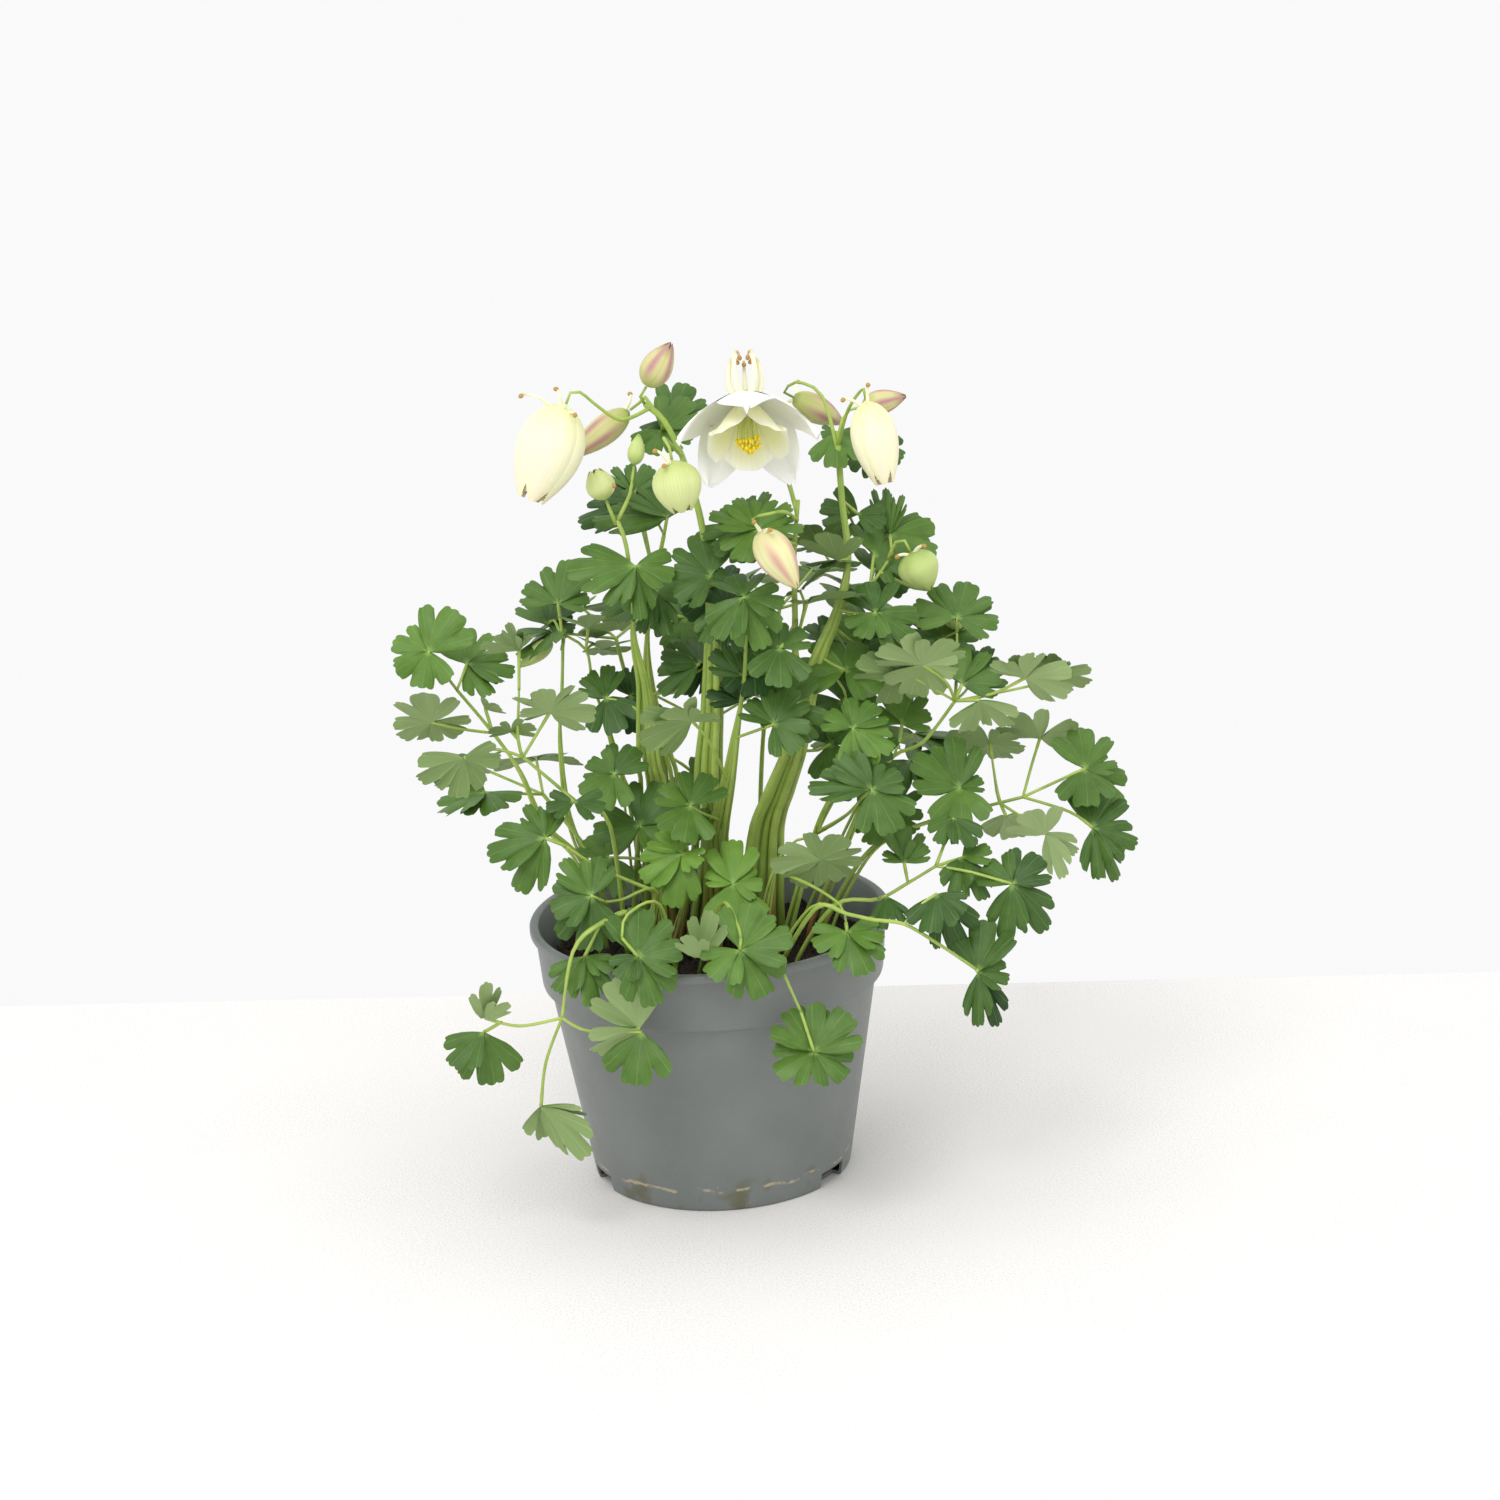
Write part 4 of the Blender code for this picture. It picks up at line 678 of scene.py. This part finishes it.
# Buds and closed blooms: base, tip and half width on the sheet, spur tips, the colour's name, and the
# stem that it grows on with the points that its own stalk passes
BUDS = {
    "bud_top": ((646, 387, 9), (671, 343, 6), 15, (), "bud_pink", "stem_main", [(646, 406, 10)]),
    "bud_left_nodding": ((630, 410, 20), (568, 458, 14), 14, ((630, 394, 28),), "bud_pink", "stem_main",
        [(655, 412, 10), (645, 397, 16)]),
    "bud_left_small": ((634, 466, -6), (639, 434, -2), 8, (), "bud_green", "stem_left", [(618, 520, -5),
        (630, 494, -8)]),
    "bud_left_low": ((553, 640, 58), (519, 667, 58), 9, (), "bud_green", "frond_left_back", [(562, 650, 50),
        (564, 636, 56)]),
    "bud_right_pink": ((793, 397, 37), (843, 423, 52), 14, ((780, 404, 40), (798, 382, 50)), "bud_pink",
        "stem_right", [(838, 452, 20), (822, 396, 26), (796, 382, 32)]),
    "bud_right": ((861, 407, 24), (906, 396, 22), 12, (), "bud_pink", "stem_right", [(838, 445, 20),
        (842, 420, 22)]),
    "bud_front": ((759, 529, -42), (797, 588, -48), 18, ((754, 522, -48), (770, 530, -52)), "bud_cream",
        "stem_right", [(797, 520, -3), (785, 512, -24), (768, 514, -38)]),
    "bud_side_green": ((910, 551, 4), (930, 590, 2), 20, ((897, 557, 0), (924, 546, -2)), "bud_green",
        "stem_right", [(888, 560, 10), (896, 542, 8)]),
    "bud_side_low": ((938, 598, 30), (966, 636, 40), 10, (), "bud_green", "stem_right", [(880, 572, 9),
        (914, 588, 26)]),
    "bloom_left_nodding": ((566, 404, -18), (530, 500, -28), 32, ((521, 396, -24), (556, 389, -14),
        (575, 415, -30)), "petal_cream", "stem_main", [(650, 408, 9), (622, 420, 0), (600, 408, -8),
        (580, 392, -14)]),
    "bloom_right_nodding": ((866, 400, -8), (885, 484, -16), 22, ((868, 385, -12), (843, 400, -12)),
        "petal_cream", "stem_right", [(838, 445, 20), (848, 410, 4)]),
    "bloom_middle_green": ((672, 460, -38), (683, 512, -42), 23, ((655, 451, -40), (664, 466, -48)),
        "petal_green", "stem_main", [(682, 456, 6), (664, 438, -16)]),
    "bloom_back_green": ((606, 500, -6), (594, 470, -4), 14, ((614, 486, -8),), "petal_green", "stem_left",
        [(616, 524, -5)]),
}

# The open bloom: where its petals spring from, the way its bell opens, and its sizes
BLOOM_AT = (746, 402, -6)
BLOOM_FACING = Vector((0.0, -0.72, -0.69)).normalized()
BLOOM_STALK = ("stem_right", [(797, 513, -2), (788, 480, 14), (770, 420, 20), (756, 396, 14)])
SEPAL_LENGTH = 0.048
SEPAL_WIDTH = 0.025
SEPAL_OUT, SEPAL_RISE = 0.72, 0.52
CUP_RADIUS = 0.0195
CUP_DEPTH = 0.026
SPUR_LENGTH = 0.026

# Fronds behind the pot's axis, out of the front's view: bearing, height of the node and reach in mm
BACK_FRONDS = ((26, 92, 124), (56, 178, 112), (88, 104, 130), (122, 165, 112), (156, 84, 130))
BACK_FOOT_R = 0.046
SIDE_LEAFLET_TURN, SIDE_LEAFLET_SIZE = radians(104), 0.92
print("fronds and stems:", len(FOLIAGE), "buds and closed blooms:", len(BUDS))

# %% [markdown]
# ## Fronds and leafy stems
# Each frond's stalks are round and taper; where a stalklet meets its leaf it swells a little. Thinner
# stalks and second leaves fill out the thick of the plant.

# %% Fronds seen from the front
PETIOLE_R, STALKLET_R = 1.4, 0.8
BUD_STALK_R, BLOOM_STALK_R, STALK_TAPER = 0.0011, 0.0013, 0.0004
STALK_GAP = 0.0004
FOOT_DEPTH, FOOT_RISE = 0.012, 0.006
# How light the leaves of a node are, from 0 to 1: partly their own green, the young fronds paler,
# and partly painted light and shade, the high fronds lighter and the low ones at the right darker
PLAIN_TONE = 0.4
LEAF_TONE_AND_PAINTED_LIGHT = {"frond_young": 0.85, "frond_young_centre": 0.8, "frond_left_high": 0.55, "frond_front": 0.5,
         "frond_front_low": 0.45, "frond_right_low": 0.35, "frond_right_hanging": 0.2, "frond_right_high": 0.5}
# Thinner stalks stand beside each stalk: (sides, share left out, thickness) for a stout one and a slender one
STOUT, COMPANION_END = 1.7, 0.8
COMPANIONS = {True: ((-1, 1, -2, 2), 0.1, 0.85), False: ((-1, 1), 0.35, 0.72)}
# In these nodes a second leaf stands behind each one that is drawn above this row of the sheet
CROWDED = ("stem_left", "stem_middle_left", "stem_main", "stem_centre", "stem_right", "frond_right_high",
           "frond_left_back")
CROWDED_ABOVE = 700


def add_stalk(sheets, foot, thickness, line, tone):
    """A round tapering stalk. One that starts in the soil has thinner stalks beside it."""
    places = [on_sheet(*p) for p in line]
    if foot:
        x, y = foot[0] * MM, foot[1] * MM
        places = [Vector((x, y, SOIL_TOP - FOOT_DEPTH)), Vector((x, y, SOIL_TOP + FOOT_RISE))] + places
    path = smooth_line(places)
    share = shares(path)
    radii = thickness * MM * (1 - 0.45 * share) * (1 + 0.04 * np.sin(share * 40))
    add_tube(sheets, path, radii, STALK, 12, tone=tone, red=float(chance.random() > 0.6))
    if not foot:
        return
    sides, left_out, thinner = COMPANIONS[thickness > STOUT]
    kept = share <= COMPANION_END
    for side in sides:
        if chance.random() < left_out:
            continue
        lean = np.array([side * chance.uniform(0.004, 0.007), chance.uniform(-0.006, 0.006), 0])
        beside = path + lean * (1 - share[:, None] / COMPANION_END)
        add_tube(sheets, beside[kept], radii[kept] * thinner, STALK, 10, tone=chance.uniform(0.3, 1.0),
                 red=float(chance.random() > 0.7))


def add_flower_stalk(sheets, line, head, axis, radius):
    """The stalk of a bud or bloom, which comes up to its base along its axis."""
    path = smooth_line([on_sheet(*p) for p in line] + [head - axis * 0.006, head])
    add_tube(sheets, path, radius - STALK_TAPER * shares(path), STALK, 8, tone=0.8)


def add_leaf_behind(sheets, face, line, tips, tone):
    """A smaller leaf on the same stalklet, behind the drawn one and turned a little, with painted shade: its
    tone is 0.2 darker.
    """
    x, y, depth = line[-1]
    aside, down, further = chance.uniform(-34, 34), chance.uniform(-16, 34), chance.uniform(14, 26)
    joint = on_sheet(x + aside, y + down, depth + further)
    middle = on_sheet(x + aside * 0.4, y + down * 0.4 + 8, depth + further * 0.6)
    path = smooth_line([on_sheet(*line[0]), middle, joint], 0.003)
    add_tube(sheets, path, 0.0007, STALK, 8, tone=0.7)
    turned, size = chance.uniform(-0.5, 0.5), chance.uniform(0.80, 0.95)
    ends = []
    for across, over in tips:
        dx, dy = (across - x) * size, (over - y) * size
        ends.append(leaf_end(joint, face, x + aside + dx * cos(turned) - dy * sin(turned),
                             y + down + dx * sin(turned) + dy * cos(turned), depth + further))
    # Painted shade: the leaf behind is painted 0.2 darker in tone
    add_leaflets(sheets, joint, ends, FACES[face], tone - 0.2)


for node, (stalks, leaves) in FOLIAGE.items():
    sheets = Sheets()
    # Each node's leaf tone: partly the leaves' own green, partly painted light and shade
    node_tone_and_painted_light = LEAF_TONE_AND_PAINTED_LIGHT.get(node, PLAIN_TONE)
    for foot, thickness, line in stalks:
        add_stalk(sheets, foot, thickness, line, chance.uniform(0.4, 0.9))
    for face, line, tips in leaves:
        places = [on_sheet(*p) for p in line]
        path = smooth_line(places, 0.003)
        radii = np.full(len(path), STALKLET_R * MM)
        radii[-3:] *= 1.15
        add_tube(sheets, path, radii, STALK, 8, tone=chance.uniform(0.6, 1.0))
        ends = [leaf_end(places[-1], face, *tip, line[-1][2]) for tip in tips]
        tone = node_tone_and_painted_light + (0.15 if face == "U" else 0.0) + chance.uniform(-0.15, 0.15)
        add_leaflets(sheets, places[-1], ends, FACES[face], tone)
        if node in CROWDED and line[-1][1] < CROWDED_ABOVE:
            add_leaf_behind(sheets, face, line, tips, tone)
    for base, tip, _, _, _, grows_on, line in BUDS.values():
        if grows_on == node:
            head = on_sheet(*base)
            add_flower_stalk(sheets, line, head, (on_sheet(*tip) - head).normalized(), BUD_STALK_R)
    if node == BLOOM_STALK[0]:
        head = on_sheet(*BLOOM_AT) - BLOOM_FACING * STALK_GAP
        add_flower_stalk(sheets, BLOOM_STALK[1], head, BLOOM_FACING, BLOOM_STALK_R)
    sheets.make(node + "_fine", "leaf", node)

# %% Fronds at the back
seeded = random.Random(5)
for k, (bearing, height, reach) in enumerate(BACK_FRONDS):
    node = f"frond_back_{k + 1}"
    sheets = Sheets()
    turn = radians(bearing)
    outward, sideways = Vector((cos(turn), sin(turn), 0)), Vector((-sin(turn), cos(turn), 0))
    foot = outward * BACK_FOOT_R
    fork = outward * (reach * 0.72 * MM) + Vector((0, 0, SOIL_TOP + height * 0.93 * MM))
    start = Vector((foot.x, foot.y, SOIL_TOP - FOOT_DEPTH))
    middle = outward * (reach * 0.52 * MM) + Vector((0, 0, SOIL_TOP + height * 0.55 * MM))
    path = smooth_line([start, start + Vector((0, 0, FOOT_DEPTH + FOOT_RISE)), middle, fork])
    add_tube(sheets, path, PETIOLE_R * MM * np.linspace(1, 0.75, len(path)), STALK, 12, tone=0.5)
    for side in (-1, 0, 1):
        joint = fork + outward * ((0.30 - 0.16 * abs(side)) * reach * MM) + sideways * (side * 0.030)
        joint = joint + Vector((0, 0, 0.010 - 0.004 * abs(side) + 0.003 * (k % 3)))
        ahead = (joint - fork).normalized()
        add_tube(sheets, smooth_line([fork - ahead * 0.0005, joint]), STALKLET_R * MM, STALK, 8, tone=0.7)
        ends = []
        for m in (-1, 0, 1):
            turned_by = m * SIDE_LEAFLET_TURN * seeded.uniform(0.62, 0.8)
            heading = Matrix.Rotation(turned_by, 3, "Z") @ Vector((ahead.x, ahead.y, 0)).normalized()
            size = LEAFLET * (1 if m == 0 else SIDE_LEAFLET_SIZE)
            ends.append(joint + heading * size * 0.96 + Vector((0, 0, seeded.uniform(-0.42, -0.12) * size)))
        add_leaflets(sheets, joint, ends, Vector((0, 0, 1)) + ahead * 0.3, 0.4)
    sheets.make(node + "_fine", "leaf", node)

# %% [markdown]
# ## Buds and nodding blooms
# A bud is a spindle of five sepals. Each sepal covers a fifth of the turn and a little more, its
# radius follows the spindle's outline and its edges lie over the next one's. A nodding bloom is the
# same, wider, with its sepals' tips apart and an inner ring of shorter petals.

# %% Buds and closed blooms
KNOB_R = 0.0012
MM_PER_PIXEL = 0.5257  # at the pot's rim
BUD_MATERIALS = {"bud_pink": PINK_BUD, "bud_cream": CREAM_BUD, "bud_green": GREEN_BUD,
                 "petal_cream": CREAM, "petal_green": GREEN_CREAM}


def spindle(s, blunt):
    """r(s) = sin(pi s^0.72)^0.8, kept open towards the tip by blunt."""
    return np.sin(pi * np.clip(s, 0, 1) ** 0.72 * (1 - 0.12 * blunt)) ** 0.8 * 0.97 + 0.02


def sepal_grid(low, axis, first, second, length, radius, turn, blunt, spread):
    """low + s L axis + r(s) (cos a first + sin a second), a = turn + t w(s), with w narrowing at the tip."""
    s, t = over_grid(22, 13)
    w = spread * np.clip((1.0 - s) * 4.6 + 0.25, 0, 1) ** 0.6
    a = turn + t * w
    r = radius * spindle(s, blunt) * (1.04 - 0.07 * t ** 2)
    ring = np.cos(a)[..., None] * first + np.sin(a)[..., None] * second
    return low + (s * length)[..., None] * axis + r[..., None] * ring


def add_knob(sheets, place, heading, radius):
    """The swollen ochre end of a spur."""
    steps = np.linspace(-1, 1, 7)
    heading = np.array(heading) / np.linalg.norm(heading)
    line = np.array(place) + steps[:, None] * radius * 1.2 * heading
    add_tube(sheets, line, radius * np.sqrt(1.02 - steps ** 2), SPUR_TIP, 10)


def spur_path(root, end, curl):
    """A line from the petal to a hooked, knobbed end."""
    out = end - root
    bend = root.lerp(end, 0.5) + curl * out.length * 0.16
    hook = end + curl * out.length * 0.05
    return smooth_line([root, bend, hook, end], 0.0012)


for node, (base, tip, half_width, spurs, tint, _, _) in BUDS.items():
    sheets = Sheets()
    low_v, high_v = on_sheet(*base), on_sheet(*tip)
    axis_v = (high_v - low_v).normalized()
    low_v = low_v + axis_v * STALK_GAP
    length = (high_v - low_v).length
    axis, low = np.array(axis_v), np.array(low_v)
    first = np.array(axis_v.cross(Vector((0.3, 1, 0.2))).normalized())
    second = np.cross(axis, first)
    radius = half_width * MM_PER_PIXEL * MM
    bloom = tint.startswith("petal")
    paint = BUD_MATERIALS[tint]
    if bloom:
        for k in range(5):
            turn = 2 * pi * (k + 0.5) / 5
            grid = sepal_grid(low, axis, first, second, length * 0.93, radius * 0.90, turn, 0.9, 0.60)
            sheets.add(grid, paint)
            sheets.add(grid - 0.0002 * axis, paint, flip=True)
    for k in range(5):
        turn = 2 * pi * k / 5
        grid = sepal_grid(low, axis, first, second, length, radius * (1.0 + 0.012 * (k % 2)), turn,
                          0.8 if bloom else 0.15, 0.66 if bloom else 0.74)
        sheets.add(grid, paint)
        sheets.add(low + (grid - low) * 0.965, paint, flip=True)
    s = np.linspace(0, 0.75, 16)
    core = low + s[:, None] * length * axis
    add_tube(sheets, core, radius * 0.86 * spindle(s, 0.2), paint, 16)
    for spur in spurs:
        end = on_sheet(*spur)
        root = low_v.lerp(high_v, 0.14)
        path = spur_path(root, end, -axis_v)
        add_tube(sheets, path, 0.0014 * (1 - 0.66 * shares(path)), SPUR, 10)
        add_knob(sheets, path[-1], path[-1] - path[-3], KNOB_R)
    sheets.make(node + "_fine", tint, node)

# %% [markdown]
# ## The open bloom
# It nods towards the front. Five broad sepals flare from its base like an open bell, round a cup
# of five petals, and each petal's spur runs back past the stalk. The stamens stand in a brush
# inside the cup.

# %% Sepals, petals and spurs
facing = np.array(BLOOM_FACING)
side = np.array(BLOOM_FACING.cross(Vector((0, 0, 1))).normalized())
top = np.cross(side, facing)
middle = np.array(on_sheet(*BLOOM_AT))
CUP_BASE_R = 0.0040
PETALS, STAMENS, GOLDEN_TURN = 5, 44, 2.399963


def outwards(turn):
    """The direction at this angle round the bloom's axis."""
    return side * cos(turn) + top * sin(turn)


def sepal_blade(turn, length, width, seed):
    """middle + L (0.72 (1.3 s - 0.3 s^2) out + (0.08 s + 0.52 s^2) forward), half as wide as
    W sin(pi (0.09 + 0.9 s^0.8))^0.6, arched across like a dome and ruffled a little at the edge."""
    out = outwards(turn)
    over = np.cross(out, facing)
    s, t = over_grid(34, 25)
    w = width * np.sin(pi * (0.09 + 0.90 * s ** 0.80)) ** 0.60
    ruffle = 0.035 * np.sin(t * 4 + seed + s * 5) * s ** 2 * length
    bow = -0.22 * width * t ** 2 * np.sin(pi * s) + ruffle
    outward = 0.0020 + SEPAL_OUT * (1.3 * s - 0.3 * s ** 2) * length + bow * 0.5
    forward = 0.0012 + (0.08 * s + SEPAL_RISE * s ** 2) * length - bow * 1.1
    return middle + outward[..., None] * out + (w * t)[..., None] * over + forward[..., None] * facing


def cup_blade(turn, seed):
    """A petal of the cup, which widens from CUP_BASE_R to CUP_RADIUS. Its lip is rounded and scalloped."""
    out = outwards(turn)
    over = np.cross(out, facing)
    s, t = over_grid(30, 25)
    radius = CUP_BASE_R + (CUP_RADIUS - CUP_BASE_R) * s ** 1.05
    angle = t * (0.70 - 0.04 * s)
    lip = 1.08 - 0.24 * np.abs(t) ** 2.4 + 0.015 * np.sin(t * 9 + seed)
    height = CUP_DEPTH * s * (1 + (lip - 1) * s ** 2)
    r = radius + 0.0014 * np.sin(pi * s) * (1 - t ** 2) + 0.0010 * s ** 4
    return (middle + (r * np.cos(angle))[..., None] * out + (r * np.sin(angle))[..., None] * over
            + height[..., None] * facing)


sheets = Sheets()
for k in range(PETALS):
    turn = 2 * pi * k / PETALS + pi / 2
    grid = sepal_blade(turn, SEPAL_LENGTH, SEPAL_WIDTH * 0.60, k * 1.7)
    sheets.add(grid, WHITE)
    sheets.add(grid - 0.0004 * facing, WHITE, flip=True)
    turn = turn + pi / PETALS
    grid = cup_blade(turn, k * 2.1)
    sheets.add(grid, CUP_PETAL, flip=True)
    sheets.add(middle + (grid - middle) * 0.975, CUP_PETAL)
    spur = ((0.0030, -0.0020), (0.0085, 0.012), (0.0075, SPUR_LENGTH), (0.0045, SPUR_LENGTH + 0.0020),
            (0.0035, SPUR_LENGTH - 0.0008))
    path = smooth_line([middle + outwards(turn) * aside - facing * back for aside, back in spur], 0.001)
    radii = 0.0017 * (1 - shares(path)) ** 0.8 + 0.0005
    add_tube(sheets, path, radii, SPUR, 12)
    add_knob(sheets, path[-1], path[-1] - path[-3], KNOB_R)
sheets.make("bloom_petals_fine", "petal_white", "bloom_petals")

# %% Stamens
sheets = Sheets()
for k in range(STAMENS):
    out = outwards(k * GOLDEN_TURN)
    lean = 0.0062 * (k / STAMENS) ** 0.5
    height = 0.025 + 0.005 * chance.random() - 0.003 * (k / STAMENS)
    root = middle + out * lean * 0.3 + facing * 0.004
    end = middle + facing * height + out * lean
    path = smooth_line([root, (root + end) / 2 + out * 0.0008, end], 0.003)
    add_tube(sheets, path, 0.00025, FILAMENT, 6)
    knob = np.vstack([end - facing * 0.0008, end, end + facing * 0.0009, end + facing * 0.0016])
    add_tube(sheets, knob, np.array([0.0004, 0.0008, 0.0007, 0.0003]), POLLEN, 8)
sheets.make("bloom_stamens_fine", "stamen", "bloom_stamens")

# %% [markdown]
# ## Pot and soil
# The pot is its outline turned about the axis, with the drainage notches cut through its foot.
# The soil is a disc raised by layered waves, with crumbs pressed into it.

# %% Pot
COLLAR_HEIGHT, COLLAR_STEP, LIP, POT_WALL = 0.032, 0.0042, 0.0028, 0.0013
POT_FLOOR = 0.0020
NOTCH_WIDTH, NOTCH_HEIGHT, NOTCH_DEPTH, NOTCH_TURNS = 0.020, 0.0085, 0.006, (-157, -34, 84)
BOX_FACES = [(0, 1, 3, 2), (4, 6, 7, 5), (0, 4, 5, 1), (2, 3, 7, 6), (0, 2, 6, 4), (1, 5, 7, 3)]
under = POT_HEIGHT - COLLAR_HEIGHT
collar_r = POT_RIM_R - 0.0050
body_r = collar_r - COLLAR_STEP
inner_base = POT_BASE_R - POT_WALL


def wall_r(height):
    """The wall's outer radius under the collar: a straight taper."""
    return POT_BASE_R + (body_r - POT_BASE_R) * (height - 0.0016) / (under - 0.0046)


# (radius, height) from the middle of the underside, up the outside and down the inside
OUTLINE = np.array([
    (0.0, 0.0), (0.030, 0.0), (POT_BASE_R - 0.0016, 0.0), (POT_BASE_R - 0.0005, 0.0004), (POT_BASE_R, 0.0016),
    (wall_r(0.0050), 0.0050), (wall_r(0.0100), 0.0100), (wall_r(0.0120), 0.0120), (wall_r(0.0200), 0.0200),
    (wall_r(under * 0.5), under * 0.5), (body_r, under - 0.003), (body_r + 0.0006, under - 0.0012),
    (collar_r - 0.0012, under), (collar_r - 0.0003, under + 0.0004), (collar_r, under + 0.0015),
    (POT_RIM_R - LIP, POT_HEIGHT - 0.0050), (POT_RIM_R - 0.0004, POT_HEIGHT - 0.0040),
    (POT_RIM_R, POT_HEIGHT - 0.0032), (POT_RIM_R, POT_HEIGHT - 0.0008),
    (POT_RIM_R - 0.0003, POT_HEIGHT - 0.0002), (POT_RIM_R - 0.0010, POT_HEIGHT),
    (POT_RIM_R - LIP - POT_WALL, POT_HEIGHT),
    (POT_RIM_R - LIP - POT_WALL - 0.0006, POT_HEIGHT - 0.0006), (collar_r - POT_WALL - 0.0012, under + 0.005),
    (body_r - POT_WALL - 0.0002, under - 0.006), (wall_r(0.0120) - POT_WALL, 0.0120),
    (inner_base, POT_FLOOR), (0.0, POT_FLOOR),
])
a = round_turn(160)
r, z = OUTLINE[:, :1], OUTLINE[:, 1:]
grid = np.stack([r * np.cos(a), r * np.sin(a), z + 0 * a], axis=-1)
sheets = Sheets()
sheets.add(grid, pot_material(), closed=True)
pot = sheets.make("pot_fine", "pot", "pot")
weld = pot.modifiers.new("weld", "WELD")
weld.merge_threshold = 0.00002
for turn_deg in NOTCH_TURNS:
    turn = radians(turn_deg)
    block = bpy.data.meshes.new(f"drain_{turn_deg}")
    corners = [(x, y, z) for x in (-NOTCH_DEPTH, NOTCH_DEPTH) for y in (-NOTCH_WIDTH / 2, NOTCH_WIDTH / 2)
               for z in (-NOTCH_HEIGHT, NOTCH_HEIGHT)]
    block.from_pydata(corners, [], BOX_FACES)
    cutter = new_object(f"drain_{turn_deg}", block)
    cutter.location = (cos(turn) * POT_BASE_R, sin(turn) * POT_BASE_R, 0)
    cutter.rotation_euler = (0, 0, turn)
    cutter.hide_render = cutter.hide_viewport = True
    cutter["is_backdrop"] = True
    cut = pot.modifiers.new(cutter.name, "BOOLEAN")
    cut.operation, cut.solver, cut.object = "DIFFERENCE", "EXACT", cutter
print("pot outline points:", len(OUTLINE))

# %% Soil
SOIL_R = body_r - POT_WALL - 0.0012
SOIL_SIDE_FOOT = 0.106
SOIL_WAVES, CRUMBS = 26, 700


def soil_level(r):
    """The soil's mean height at radius r, a dome that falls towards the wall."""
    return SOIL_TOP + 0.0010 - 0.0035 * (r / SOIL_R) ** 4


soil_paint = soil_material()
sheets = Sheets()
r = np.concatenate([np.linspace(0, SOIL_R, 120), [SOIL_R]])[:, None]
a = round_turn(260)
x, y = r * np.cos(a), r * np.sin(a)
height = np.zeros_like(x)
for _ in range(SOIL_WAVES):
    angle, wave = chance.uniform(0, 2 * pi), chance.uniform(300, 2600)
    height += (1.2 / wave) * np.sin((x * np.cos(angle) + y * np.sin(angle)) * wave + chance.uniform(0, 6))
z = soil_level(r) + height * 0.55
z[-1] = SOIL_SIDE_FOOT
sheets.add(np.stack([x, y, z], axis=-1), soil_paint, closed=True)
ball_a = round_turn(7)
ball_b = np.linspace(-pi / 2, pi / 2, 5)[:, None]
ball = np.stack([np.cos(ball_b) * np.cos(ball_a), np.cos(ball_b) * np.sin(ball_a),
                 np.sin(ball_b) + 0 * ball_a], axis=-1)
for _ in range(CRUMBS):
    spot = SOIL_R * 0.985 * chance.random() ** 0.5
    turn = chance.uniform(0, 2 * pi)
    size = chance.uniform(0.0006, 0.0019)
    stretch = np.array([chance.uniform(0.7, 2.0), chance.uniform(0.7, 1.2), 0.7])
    rough = 1 + 0.25 * chance.standard_normal(ball.shape[:2])[..., None]
    lump = ball * rough * stretch * size
    lump[0], lump[-1] = lump[0].mean(axis=0), lump[-1].mean(axis=0)
    place = np.array([spot * cos(turn), spot * sin(turn), soil_level(spot)])
    sheets.add(lump + place, soil_paint, closed=True)
sheets.make("soil_fine", "soil", "soil")

# %% [markdown]
# ## Studio
# A pale floor ends a little behind the plant, in front of an even white surround that gives most of
# the light. A broad soft light in front and above adds the faint shadows.

# %% Floor, lights and camera
FLOOR_END, FLOOR_SKEW, FLOOR_HALF = 0.255, -0.165, 2
SURROUND, SURROUND_STRENGTH = (0.99, 0.99, 1.0, 1), 0.96

floor_paint, tree, surface = new_material("Pale speckled laminate")
speck = mixed(tree, ramp(tree, noise(tree, 0.9, 2.0), 0.45, 0.75), "#f1efed", "#d8d3ce")
cloudy = ramp(tree, noise(tree, 0.010, 3.0), 0.4, 0.8)
dress(tree, surface, mixed(tree, cloudy, speck, "#eeebe8"), 0.7)
mesh = bpy.data.meshes.new("floor")
mesh.from_pydata([(-FLOOR_HALF, -FLOOR_HALF, 0), (FLOOR_HALF, -FLOOR_HALF, 0),
                  (FLOOR_HALF, FLOOR_END + FLOOR_SKEW, 0), (-FLOOR_HALF, FLOOR_END - FLOOR_SKEW, 0)],
                 [], [(0, 1, 2, 3)])
mesh.materials.append(floor_paint)
thing = new_object("floor", mesh)
thing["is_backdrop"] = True


def soft_light(name, place, size, power, aim=(0, 0, 0.22)):
    """A round lamp of this size in metres and power in watts, turned to the plant's middle."""
    lamp = bpy.data.lights.new(name, "AREA")
    lamp.shape, lamp.size, lamp.energy = "DISK", size, power
    thing = new_object(name, lamp)
    thing.location = place
    thing.rotation_euler = (Vector(aim) - Vector(place)).to_track_quat("-Z", "Y").to_euler()


soft_light("key", (-0.5, -1.3, 1.9), 1.0, 17)
soft_light("fill", (1.6, -1.2, 1.0), 1.2, 2)
soft_light("top", (0.1, 0.1, 1.9), 1.4, 4)
world = bpy.context.scene.world or bpy.data.worlds.new("World")
bpy.context.scene.world = world
world.use_nodes = True
background = world.node_tree.nodes["Background"]
background.inputs[0].default_value, background.inputs[1].default_value = SURROUND, SURROUND_STRENGTH
bpy.context.scene.view_settings.view_transform = "Standard"

lens = bpy.data.cameras.new("camera")
lens.sensor_width = 36
lens.lens = 36 * SHEET_SCALE / SHEET_SIDE
camera = new_object("camera", lens)
camera.matrix_world = Matrix((RIGHT, UP, -FORWARD)).transposed().to_4x4()
camera.location = EYE
bpy.context.scene.camera = camera
print("lens", round(lens.lens, 2), "mm")

# %% Finish
low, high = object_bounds()
